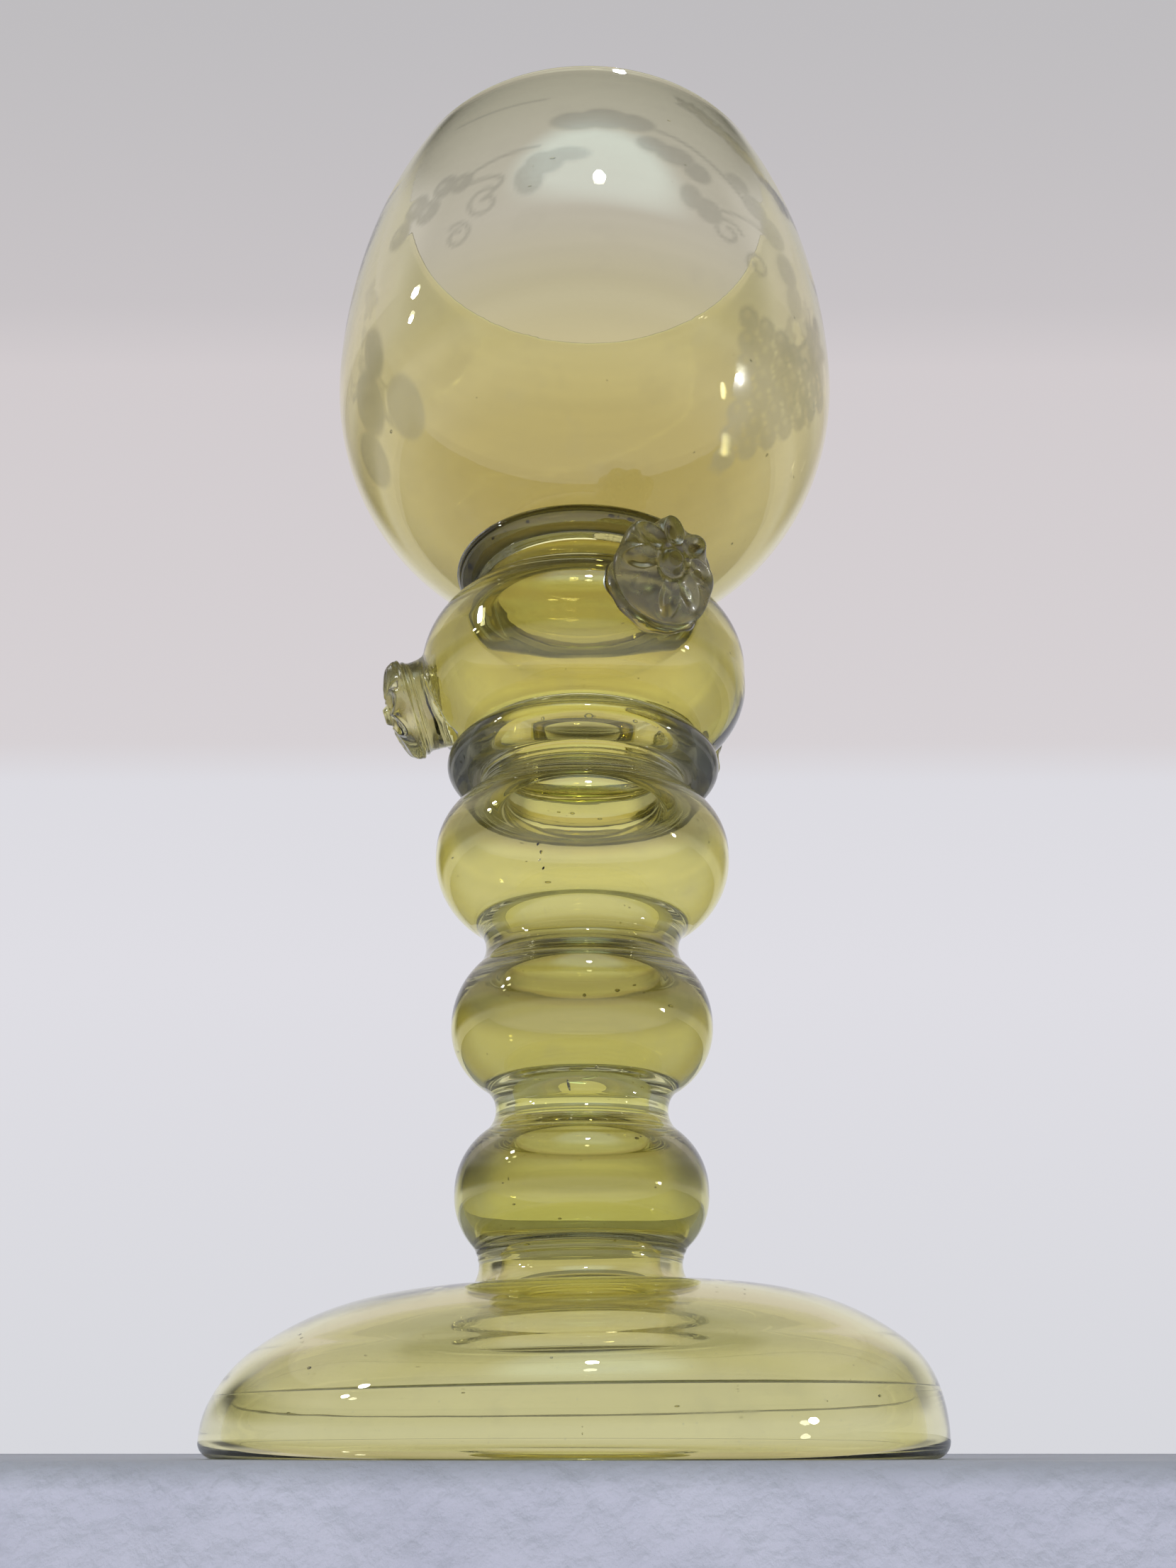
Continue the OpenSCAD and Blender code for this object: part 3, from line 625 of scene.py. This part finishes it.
def bowl():
    """Thin bowl: a round underside and a side drawn in to the rim, with the vine cut in, a fire-polished lip,
    and an egg-shaped inside on half as many columns."""
    around, half = 480, 240
    rise = np.degrees(np.arcsin(BOWL_SIDE_H / BOWL_SIDE_R))
    rim_r = SIDE_C + np.sqrt(BOWL_SIDE_R ** 2 - BOWL_SIDE_H ** 2)
    outer = np.concatenate([
        arc(0, BOWL_Z, BOWL_R, -90, -46, 20)[1:],
        arc(0, BOWL_Z, BOWL_R, -46, 0, 56)[1:],
        arc(SIDE_C, BOWL_Z, BOWL_SIDE_R, 0, rise, 66)[1:],
    ])
    lip = arc(rim_r - BOWL_WALL / 2, RIM_Z, BOWL_WALL / 2, 0, 180, 9)[1:]
    a = np.radians(np.linspace(0, 90, 36))[:, None]
    cup = np.concatenate([(BOWL_R - BOWL_WALL) * np.cos(a), BOWL_Z - (BOWL_R - BOWL_BOTTOM) * np.sin(a)], 1)
    inner = np.concatenate([arc(SIDE_C, BOWL_Z, BOWL_SIDE_R - BOWL_WALL, rise, 0, 26)[1:], cup[1:-1]])

    t = all_round(around)[None, :]
    up = np.concatenate([[0], np.cumsum(np.hypot(*np.diff(outer, axis=0).T))])[:, None]
    r, z = outer[:, :1], outer[:, 1:]
    turn = np.degrees(t) + 90 + 0 * r
    mask = vine(turn, r + 0 * turn, up + 0 * turn, z + 0 * turn)
    slope = np.gradient(outer, axis=0)
    normal = np.stack([slope[:, 1], -slope[:, 0]], 1) / np.hypot(*slope.T)[:, None]
    cut_r, cut_z = r - CUT_DEPTH * mask * normal[:, :1], z - CUT_DEPTH * mask * normal[:, 1:]
    cut = polar(cut_r, t, cut_z)
    rows = [cut, turn_points(lip, around), turn_points(inner, half)]
    poles = np.array([[0, 0, BOWL_Z - BOWL_R], [0, 0, BOWL_Z - BOWL_R + BOWL_BOTTOM]])
    points = np.concatenate([row.reshape(-1, 3) for row in rows] + [poles])
    n_out, n_in = len(outer) + len(lip), len(inner)
    turn_row, in_row = (n_out - 1) * around, n_out * around
    count = in_row + n_in * half
    j = np.arange(half)
    m = (j + 1) % half
    a0, a1, a2 = turn_row + 2 * j, turn_row + 2 * j + 1, turn_row + 2 * m
    b0, b1 = in_row + j, in_row + m
    step = np.concatenate([np.stack(c, 1) for c in ((a0, a1, b0), (a1, a2, b1), (a1, b1, b0))])
    faces = [
        ring_faces(n_out, around, False), ring_faces(n_in, half, False) + in_row, step,
        fan_faces(count, 0, around, False), fan_faces(count + 1, in_row + (n_in - 1) * half, half, True)]
    free = slice(BOWL_PLAIN_ROWS, -PLAIN_ROWS)
    middle = outer[free] - normal[free] * BOWL_WALL / 2
    piece = glass_mesh("blown_bowl", points, faces, seeds(middle, np.full(len(middle), BOWL_WALL), 60))
    values = np.zeros(len(piece.data.vertices))
    values[:mask.size] = mask.ravel()
    piece.data.attributes.new("engraved", "FLOAT", "POINT").data.foreach_set("value", values)
    return piece


def add(tree, kind, inputs=None, **settings):
    """Shader node with its settings and its inputs, each linked to a socket or set to a value."""
    node = tree.nodes.new("ShaderNode" + kind)
    for key, value in settings.items():
        setattr(node, key, value)
    for key, value in (inputs or {}).items():
        if isinstance(value, bpy.types.NodeSocket):
            tree.links.new(value, node.inputs[key])
        else:
            node.inputs[key].default_value = value
    return node


def calc(tree, operation, first, second=0.0, clamp=False):
    """Sum, product or the like of two sockets or numbers."""
    return add(tree, "Math", {0: first, 1: second}, operation=operation, use_clamp=clamp).outputs[0]


def carry(tree, value, low, high, to_low=0.0, to_high=1.0, soft=False):
    """Value carried from one range over to another and held at its ends, which are level if it is soft."""
    ranges = {"Value": value, "From Min": low, "From Max": high, "To Min": to_low, "To Max": to_high}
    ease = "SMOOTHSTEP" if soft else "LINEAR"
    return add(tree, "MapRange", ranges, interpolation_type=ease).outputs["Result"]


def mixed(tree, factor, first, second, **settings):
    """Mix of two colours, each a socket or a value, by a factor."""
    return add(tree, "Mix", {0: factor, 6: first, 7: second}, data_type="RGBA", **settings).outputs[2]


def noise(tree, place, scale, detail):
    """Cloudy pattern from about 0 to 1."""
    return add(tree, "TexNoise", {"Vector": place, "Scale": scale, "Detail": detail}).outputs["Fac"]


def on_object(tree):
    """Place on the piece in the object's frame, in metres."""
    return add(tree, "TexCoord").outputs["Object"]


def facing_away(tree, **inputs):
    """How far the surface turns from the eye, from 0 to 1."""
    return add(tree, "LayerWeight", {"Blend": 0.5, **inputs}).outputs["Facing"]


def ramp(tree, share, stops):
    """Colour by (share, colour) stops along a share from 0 to 1."""
    node = add(tree, "ValToRGB", {"Fac": share})
    elements = node.color_ramp.elements
    for element, (at, colour) in zip(list(elements), (stops[0], stops[-1])):
        element.position, element.color = at, (*colour, 1)
    for at, colour in stops[1:-1]:
        elements.new(at).color = (*colour, 1)
    return node.outputs["Color"]


def height_ramp(tree, share, stops):
    """Colour over the height by (height in mm, colour) stops, from the height as a share of the top."""
    return ramp(tree, share, [(z / RAMP_TOP, colour) for z, colour in stops])


def group(name, inputs, outputs):
    """Empty shader node group with named sockets: inputs as (name, default), outputs as (name, kind)."""
    tree = bpy.data.node_groups.new(name, "ShaderNodeTree")
    for key, value in inputs:
        socket = tree.interface.new_socket(key, in_out="INPUT", socket_type="NodeSocketFloat")
        socket.default_value = value
    for key, kind in outputs:
        tree.interface.new_socket(key, in_out="OUTPUT", socket_type="NodeSocket" + kind)
    return tree, tree.nodes.new("NodeGroupInput").outputs, tree.nodes.new("NodeGroupOutput").inputs


def blown_surface():
    """Group: slow swells and drawn cords of hand-blown glass, as a normal and as a streak from 0 to 1."""
    outputs = [("Normal", "Vector"), ("Streak", "Float")]
    tree, given, put = group("blown_surface", [("Swell", 0.0), ("Cord", 0.0)], outputs)
    place = on_object(tree)
    swell_at = add(tree, "Mapping", {"Vector": place, "Scale": (40, 40, 60)}).outputs[0]
    drawn = {"Vector": place, "Scale": (16, 16, 260), "Rotation": (0.05, 0.03, 0)}
    cords = noise(tree, add(tree, "Mapping", drawn).outputs[0], 1.0, 3.0)
    slow_h = calc(tree, "MULTIPLY", noise(tree, swell_at, 1.0, 1.0), given["Swell"])
    height = calc(tree, "ADD", slow_h, calc(tree, "MULTIPLY", cords, given["Cord"]))
    bump = add(tree, "Bump", {"Height": height, "Strength": 1.0, "Distance": 0.0001})
    tree.links.new(bump.outputs["Normal"], put["Normal"])
    tree.links.new(cords, put["Streak"])
    return tree


def old_film():
    """Group: a film of dust and lime from 0 to 1, in specks and in thin patches."""
    tree, given, put = group("old_film", [("Patches", 0.5), ("Specks", 0.5)], [("Film", "Float")])
    place = on_object(tree)
    patch = carry(tree, noise(tree, place, 90.0, 4.0), 0.58, 0.78)
    grit = add(tree, "TexVoronoi", {"Vector": place, "Scale": 420.0}).outputs["Distance"]
    speck = carry(tree, grit, 0.09, 0.04)
    patch = calc(tree, "MULTIPLY", patch, given["Patches"])
    speck = calc(tree, "MULTIPLY", speck, given["Specks"])
    tree.links.new(calc(tree, "MAXIMUM", patch, speck, clamp=True), put["Film"])
    return tree


BLOWN, FILM = blown_surface(), old_film()


def material(name, inputs):
    """New material with its node tree and its shader, whose inputs are set."""
    mat = bpy.data.materials.new(name)
    mat.use_nodes = True
    shader = mat.node_tree.nodes["Principled BSDF"]
    for key, value in inputs.items():
        shader.inputs[key].default_value = value
    return mat, mat.node_tree, shader


def clear_glass(name, tints_and_shade, thick_and_shaded, shade, swell_h, cord_h, patches, specks, edge=0.0):
    """Clear glass whose colour follows the height by (height in mm, colour) stops, painted shade among them
    as darker bands, with drawn cords and an old film. Where it is deep and shaded, by (height in mm, share)
    stops, it turns to a painted shade when seen along its wall, partly for the long way through the wall and
    partly for the dark room that the wall reflects.
    At its edges it deepens by a share towards the square of its colour, as light goes the long way there.

    Returns the material, its shader, and the sockets of its colour and its roughness, for a finish over them.
    """
    mat, tree, shader = material(name, {"IOR": GLASS_IOR, "Transmission Weight": 1.0})
    skin = add(tree, "Group", {"Swell": swell_h, "Cord": cord_h}, node_tree=BLOWN).outputs
    film = add(tree, "Group", {"Patches": patches, "Specks": specks}, node_tree=FILM).outputs["Film"]
    up = add(tree, "SeparateXYZ", {0: on_object(tree)}).outputs["Z"]
    share = calc(tree, "MULTIPLY", up, 1 / (RAMP_TOP * MM))
    slant = facing_away(tree)
    # Colour by height, with painted shade as darker bands where the stops hold them
    hue = height_ramp(tree, share, tints_and_shade)
    rim = carry(tree, slant, 0.4, 0.68, 0.0, edge, soft=True)
    hue = mixed(tree, rim, hue, hue, blend_type="MULTIPLY")
    # Painted shade: seen at a slant where the stops say, the colour turns to a dark shade, partly for the
    # long way through the wall and partly for the dark room that the wall reflects
    along = carry(tree, slant, 0.22, 0.48, soft=True)
    deep = height_ramp(tree, share, [(z, (k, k, k)) for z, k in thick_and_shaded])
    hue = mixed(tree, calc(tree, "MULTIPLY", deep, along), hue, (*shade, 1))
    tone = carry(tree, skin["Streak"], 0.0, 1.0, 0.93, 1.05)
    colour = mixed(tree, 1.0, hue, tone, blend_type="MULTIPLY", clamp_result=True)
    colour = mixed(tree, film, colour, FILM_TINT)
    rough = calc(tree, "MULTIPLY", film, 0.35)
    tree.links.new(colour, shader.inputs["Base Color"])
    tree.links.new(rough, shader.inputs["Roughness"])
    tree.links.new(skin["Normal"], shader.inputs["Normal"])
    return mat, shader, colour, rough


def engrave(mat, shader, colour, rough):
    """Matt vine over the bowl's glass, painted darker as the shade that the rough cut gathers, a painted glow
    that makes the glass paler towards its edges, and the bowl's own colour by the way that light takes
    through it."""
    tree = mat.node_tree
    # Painted glow: the glass turns paler as it turns from the eye, towards its edges
    pale = carry(tree, facing_away(tree), 0.08, 0.5, 0.0, 0.8, soft=True)
    colour = mixed(tree, pale, colour, PAINTED_EDGE_GLOW_TINT)
    cut = add(tree, "Attribute", attribute_name="engraved").outputs["Fac"]
    grain = carry(tree, noise(tree, on_object(tree), 900.0, 2.0), 0.0, 1.0, 0.85, 1.08)
    mask = calc(tree, "MULTIPLY", cut, grain, clamp=True)
    matt = calc(tree, "MAXIMUM", calc(tree, "MULTIPLY", mask, 0.16), rough)
    # Painted shade: the matt cut is painted darker
    tree.links.new(mixed(tree, mask, colour, MATT_PAINTED_SHADE_TINT), shader.inputs["Base Color"])
    tree.links.new(matt, shader.inputs["Roughness"])
    soak = add(tree, "VolumeAbsorption", {"Color": SOAK_TINT, "Density": 30.0})
    tree.links.new(soak.outputs["Volume"], tree.nodes["Material Output"].inputs["Volume"])
    return mat


def trailed(mat, shader, colour, _):
    """Wound trail: seen along its length it is deep glass, so it darkens towards the two ends of its turn."""
    tree = mat.node_tree
    x, y, _ = add(tree, "SeparateXYZ", {0: on_object(tree)}).outputs
    run = add(tree, "CombineXYZ", {"X": calc(tree, "MULTIPLY", y, -1.0), "Y": x}).outputs[0]
    run = add(tree, "VectorMath", {0: run}, operation="NORMALIZE").outputs[0]
    run = add(tree, "VectorTransform", {0: run}, convert_from="OBJECT", convert_to="WORLD").outputs[0]
    deep = carry(tree, facing_away(tree, Normal=run), 0.6, 0.15)
    tree.links.new(mixed(tree, deep, colour, DEEP_TINT), shader.inputs["Base Color"])
    return mat


def smoked(mat, shader, _, rough):
    """Thick stamped glass: clouded inside with seeds and cords under a clear skin, most in the high prunt."""
    tree = mat.node_tree
    place = on_object(tree)
    haze = carry(tree, noise(tree, place, 260.0, 3.0), 0.0, 1.0, 0.22, 0.32)
    up = add(tree, "SeparateXYZ", {0: place}).outputs["Z"]
    haze = calc(tree, "MULTIPLY", haze, carry(tree, up, 0.153, 0.157, 0.3, 1.0))
    tree.links.new(calc(tree, "MAXIMUM", haze, rough), shader.inputs["Roughness"])
    shader.inputs["Coat Weight"].default_value = 0.3
    shader.inputs["Coat Roughness"].default_value = 0.03
    return mat


# Colour of each glass by height in millimetres, with darker bands of painted shade at the lower and middle
# bulbs' shoulders, the knop's top, the collar and the high prunt. And how far it darkens when seen along its
# wall there: partly the long way through the wall, partly painted shade of the dark room that it reflects
STEM_TINTS_AND_SHADE = [
    (0, (0.936, 0.91, 0.63)), (26, (0.936, 0.91, 0.63)), (31, (0.85, 0.80, 0.47)),
    (38, (0.82, 0.79, 0.36)), (47, (0.82, 0.79, 0.36)), (50, (0.62, 0.585, 0.27)),
    (53.5, (0.62, 0.585, 0.28)), (56.5, (0.88, 0.85, 0.44)), (62, (0.97, 0.95, 0.54)),
    (68, (0.84, 0.80, 0.40)), (81, (0.84, 0.80, 0.40)), (85, (0.60, 0.565, 0.27)),
    (91, (0.62, 0.58, 0.28)), (95.6, (0.60, 0.56, 0.29)), (98.2, (0.86, 0.825, 0.44)),
    (101.5, (0.93, 0.895, 0.50)), (135, (0.90, 0.855, 0.47)), (146, (0.93, 0.89, 0.44)),
    (172, (0.93, 0.89, 0.44)), (178, (0.85, 0.775, 0.35)), (190, (0.80, 0.735, 0.34))]
STEM_THICK_AND_SHADED = [
    (0, 0), (42, 0), (46, 0.5), (51, 1), (55, 0.7), (59, 0), (83, 0), (86, 1), (91, 1), (94, 0.3), (96, 0),
    (120, 0), (124, 1), (140, 1), (145, 0.35), (164, 0.35), (172, 0.7), (190, 1)]
RING_TINTS_AND_SHADE = [
    (120, (0.93, 0.90, 0.56)), (141, (0.93, 0.90, 0.56)),
    (182, (0.34, 0.33, 0.23)), (200, (0.34, 0.33, 0.23))]
RING_THICK_AND_SHADED = [(120, 0.7), (141, 0.7), (181, 1), (200, 1)]
PRUNT_TINTS_AND_SHADE = [
    (130, (0.88, 0.84, 0.42)), (153, (0.88, 0.84, 0.42)),
    (157, (0.26, 0.22, 0.065)), (185, (0.26, 0.22, 0.065))]
PRUNT_THICK_AND_SHADED = [(130, 0), (154, 0), (157, 0.5), (185, 0.5)]
BOWL_TINTS = [
    (180, (0.60, 0.55, 0.25)), (184.5, (0.64, 0.58, 0.27)), (188, (0.70, 0.61, 0.225)),
    (200, (0.75, 0.66, 0.26)), (222, (0.90, 0.85, 0.54)), (243, (0.98, 0.95, 0.80)),
    (262, (0.965, 0.94, 0.78)), (300, (0.93, 0.915, 0.66))]
BOWL_THICK = [(0, 0), (300, 0)]
# Painted shade that the slanted walls turn to: dark grey for the stem, near black for the rings and the
# prunts
OLIVE_SHADE, RING_SHADE, PRUNT_SHADE = (0.25, 0.245, 0.18), (0.07, 0.07, 0.05), (0.10, 0.098, 0.07)

stem_glass = clear_glass(
    "yellow_green_glass", STEM_TINTS_AND_SHADE, STEM_THICK_AND_SHADED, OLIVE_SHADE, 0.5, 0.12, 0.25, 0.5, edge=1.0)[0]
applied_glass = trailed(*clear_glass(
    "olive_applied_glass", RING_TINTS_AND_SHADE, RING_THICK_AND_SHADED, RING_SHADE, 0.6, 0.2, 0.2, 0.4))
prunt_glass = smoked(*clear_glass(
    "hazy_prunt_glass_painted_shade", PRUNT_TINTS_AND_SHADE, PRUNT_THICK_AND_SHADED, PRUNT_SHADE, 0.6, 0.2, 0.2, 0.4))
bowl_glass = engrave(*clear_glass(
    "pale_engraved_glass", BOWL_TINTS, BOWL_THICK, OLIVE_SHADE, 0.5, 0.08, 0.2, 0.3))
# Faces where two gathers are fused: light passes straight on, as the real glass has no surface there
joint = material(
    "fused_joint", {"Base Color": (1, 1, 1, 1), "Roughness": 0.0, "IOR": 1.0, "Transmission Weight": 1.0})[0]

foot_neck = (FOOT_NECK_R, FOOT_NECK_WALL, FOOT_Z)
low_waist = (LOW_WAIST_R, LOW_WAIST_WALL, LOW_WAIST_Z)
high_waist = (HIGH_WAIST_R, HIGH_WAIST_WALL, HIGH_WAIST_Z)
lower_belly = (LOWER_R, LOWER_WALL, LOWER_Z, LOWER_Z + LOWER_SIDE)
middle_belly = (MIDDLE_R, MIDDLE_WALL, MIDDLE_Z, MIDDLE_Z + MIDDLE_SIDE)
pieces = {
    "foot": foot(),
    "lower_bulb": bulb("lower_hollow_bulb", foot_neck, lower_belly, low_waist, NECK_LINES),
    "middle_bulb": bulb("middle_hollow_bulb", low_waist, middle_belly, high_waist, (), WAIST_CRACKS),
    "upper_bulb": upper_bulb(),
    "cordon_ring": wound_ring(
        "cordon_trail", THROAT_R + CORDON_OUT, CORDON_T, CORDON_Z, off_throat, 40, True),
    "prunted_knop": prunted_knop(),
    **{"prunt_" + side: prunt("stamped_prunt_" + side, turn, tilt, np.radians(roll), even, nod)
       for side, (turn, tilt, roll, even, nod) in PRUNTS.items()},
    "collar_ring": wound_ring(
        "collar_trail", TOP_NECK_R + COLLAR_OUT, COLLAR_T, SEAT_Z + COLLAR_LIFT, off_bowl, 110, False),
    "bowl": bowl(),
}
applied = ("cordon_ring", "collar_ring", "prunt_front", "prunt_left", "prunt_rear")
glasses = {"stem_glass": stem_glass, "applied_glass": applied_glass, "bowl_glass": bowl_glass}
for node, piece in pieces.items():
    slot = "bowl_glass" if node == "bowl" else "applied_glass" if node in applied else "stem_glass"
    piece.data.materials.append(prunt_glass if "prunt_" in node else glasses[slot])
    if node != "bowl":
        piece.data.materials.append(joint)
    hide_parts(node)
    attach(piece, "root")


def shelf_paint():
    """Pale cloudy paint with a rough skin."""
    mat, tree, shader = material("pale_shelf_paint", {"Roughness": 0.7})
    place = on_object(tree)
    cloud = noise(tree, place, 55.0, 6.0)
    rough_h = calc(tree, "ADD", cloud, noise(tree, place, 260.0, 5.0))
    tint = mixed(tree, carry(tree, cloud, 0.3, 0.7), (0.61, 0.615, 0.70, 1), (0.69, 0.695, 0.775, 1))
    relief = add(tree, "Bump", {"Height": rough_h, "Strength": 0.6, "Distance": 0.002}).outputs["Normal"]
    tree.links.new(tint, shader.inputs["Base Color"])
    tree.links.new(relief, shader.inputs["Normal"])
    return mat


def pale_shelf():
    """Shelf under the glass: a line of (depth, height) in metres run sideways, with a worn front edge."""
    edge = arc(SHELF_FRONT + SHELF_ROUND, -SHELF_ROUND, SHELF_ROUND, 180, 90, 10)
    line = np.concatenate([[[SHELF_FRONT, -0.09], [SHELF_FRONT, -0.05]], edge, [[0.4, 0], [1.6, 0]]])
    x = np.concatenate([[-1.6, -0.6], np.linspace(-0.3, 0.3, 241), [0.6, 1.6]])
    wear = 0.0003 * np.sin(61 * x) + 0.0002 * np.sin(187 * x + 1) + 0.00015 * np.sin(431 * x + 2)
    y = line[:, :1] + wear * (line[:, :1] < 0)
    points = np.stack(np.broadcast_arrays(x[None, :], y, line[:, 1:]), -1)
    i = np.arange(len(line) - 1)[:, None] * len(x) + np.arange(len(x) - 1)[None, :]
    quads = np.stack([i, i + 1, i + len(x) + 1, i + len(x)], -1)
    mesh = bpy.data.meshes.new("pale_shelf")
    mesh.from_pydata(points.reshape(-1, 3).tolist(), [], quads.reshape(-1, 4).tolist())
    mesh.polygons.foreach_set("use_smooth", np.ones(len(mesh.polygons), bool))
    mesh.materials.append(shelf_paint())
    obj = bpy.data.objects.new("pale_shelf", mesh)
    scene.collection.objects.link(obj)
    return obj


shelf = pale_shelf()

# Camera of the photograph: its frame's height and focal length in pixels, and its tilt up in degrees
FRAME_H, FOCAL, TILT = 2212, 2018, 25.06
camera_data = bpy.data.cameras.new("camera")
camera_data.sensor_width = 36
camera_data.lens = camera_data.sensor_width * FOCAL / FRAME_H
camera_data.clip_start = 0.01
camera = bpy.data.objects.new("camera", camera_data)
camera.location = (0.00116, -0.285, 0.00097)
camera.rotation_euler = (np.radians(90 + TILT), 0, 0)
scene.collection.objects.link(camera)
scene.camera = camera


def lamp(name, place, size, power):
    """Round soft white lamp aimed at the middle of the glass."""
    data = bpy.data.lights.new(name, "AREA")
    data.shape = "DISK"
    data.size = size
    data.energy = power
    obj = bpy.data.objects.new(name, data)
    obj.location = place
    aim = np.array([0, 0, 0.15]) - np.array(place)
    pitch = np.arctan2(aim[2], np.hypot(aim[0], aim[1]))
    obj.rotation_euler = (np.pi / 2 + pitch, 0, np.arctan2(aim[1], aim[0]) - np.pi / 2)
    scene.collection.objects.link(obj)


lamp("spot_front", (0.09, -0.78, 1.30), 0.09, 1.6)
lamp("spot_left", (-1.05, -0.29, 0.82), 0.08, 1.4)
lamp("spot_left_low", (-1.14, -0.29, 0.66), 0.06, 0.7)
lamp("spot_right", (1.15, -0.38, 0.10), 0.08, 1.0)
lamp("spot_above", (0.11, 0.10, 1.35), 0.045, 0.45)

# Colours of the room behind the glass by the share of its height, and of what lies out of the picture
ROOM_TONES = [
    (0.0, (0.685, 0.69, 0.73)), (0.30, (0.738, 0.73, 0.776)), (0.425, (0.722, 0.715, 0.758)),
    (0.45, (0.678, 0.641, 0.661)), (0.66, (0.645, 0.604, 0.62)), (0.69, (0.58, 0.55, 0.567)),
    (0.80, (0.523, 0.51, 0.525))]
FLAG_TINT, FLOOR_TINT, WINDOW_TINT = (0.09, 0.088, 0.082, 1), (1.15, 1.16, 1.30, 1), (1.2, 1.6, 1.75, 1)
# The window's middle lies at this share aside, and its plane's upward direction has these shares of y and z
WINDOW_X, WINDOW_UP_Y, WINDOW_UP_Z, WINDOW_HALF_W, WINDOW_HALF_H = 0.06, 0.875, 0.485, 0.48, 0.25


def pale_room():
    """World: a pale room, bright behind the glass and low all round, with dim flags above the horizon at the
    front and the sides, a bright floor, and a window high in front that is wider than tall."""
    world = bpy.data.worlds.new("pale_room")
    world.use_nodes = True
    tree = world.node_tree

    def times(first, second):
        return calc(tree, "MULTIPLY", first, second)

    def plus(first, second):
        return calc(tree, "ADD", first, second)

    def without(value):
        return calc(tree, "SUBTRACT", 1.0, value)

    def root(value):
        return calc(tree, "SQRT", value)

    def over(first, second):
        return calc(tree, "DIVIDE", first, second)

    def rise(value, low, high):
        return carry(tree, value, low, high, soft=True)

    x, y, z = add(tree, "SeparateXYZ", {0: add(tree, "TexCoord").outputs["Generated"]}).outputs
    facing = over(y, root(plus(times(x, x), times(y, y))))
    # The tones lie in straight bands behind the glass, and in level bands all round elsewhere
    sideways = times(times(x, x), without(rise(facing, 0.6, 0.85)))
    upright = root(plus(plus(times(y, y), times(z, z)), sideways))
    tones = ramp(tree, over(z, upright), ROOM_TONES)
    wide = plus(facing, times(rise(z, 0.52, 0.60), 2.0))
    beside = times(without(rise(wide, 0.77, 0.90)), rise(z, 0.07, 0.18))
    beside = times(beside, without(times(rise(x, 0.1, 0.5), 0.35)))
    beside = times(beside, without(times(rise(z, 0.28, 0.45), 0.6)))
    front = times(without(rise(facing, -0.3, 0.1)), rise(z, 0.02, 0.2))
    dark = calc(tree, "MAXIMUM", calc(tree, "MAXIMUM", beside, front), rise(z, 0.80, 0.87))
    unseen = without(add(tree, "LightPath").outputs["Is Camera Ray"])
    colour = mixed(tree, times(dark, unseen), tones, FLAG_TINT)
    colour = mixed(tree, times(rise(z, -0.08, -0.35), unseen), colour, FLOOR_TINT)
    aside = over(calc(tree, "SUBTRACT", x, WINDOW_X), WINDOW_HALF_W)
    upward = over(plus(times(y, WINDOW_UP_Y), times(z, WINDOW_UP_Z)), WINDOW_HALF_H)
    away = root(plus(times(aside, aside), times(upward, upward)))
    window = times(without(rise(away, 0.55, 1.05)), rise(y, 0.0, -0.1))
    colour = mixed(tree, window, colour, WINDOW_TINT)
    tree.links.new(colour, tree.nodes["Background"].inputs["Color"])
    return world


scene.world = pale_room()
scene.view_settings.view_transform = "Standard"
scene.cycles.max_bounces = 40
scene.cycles.transmission_bounces = 40
scene.cycles.glossy_bounces = 24
scene.cycles.transparent_max_bounces = 24
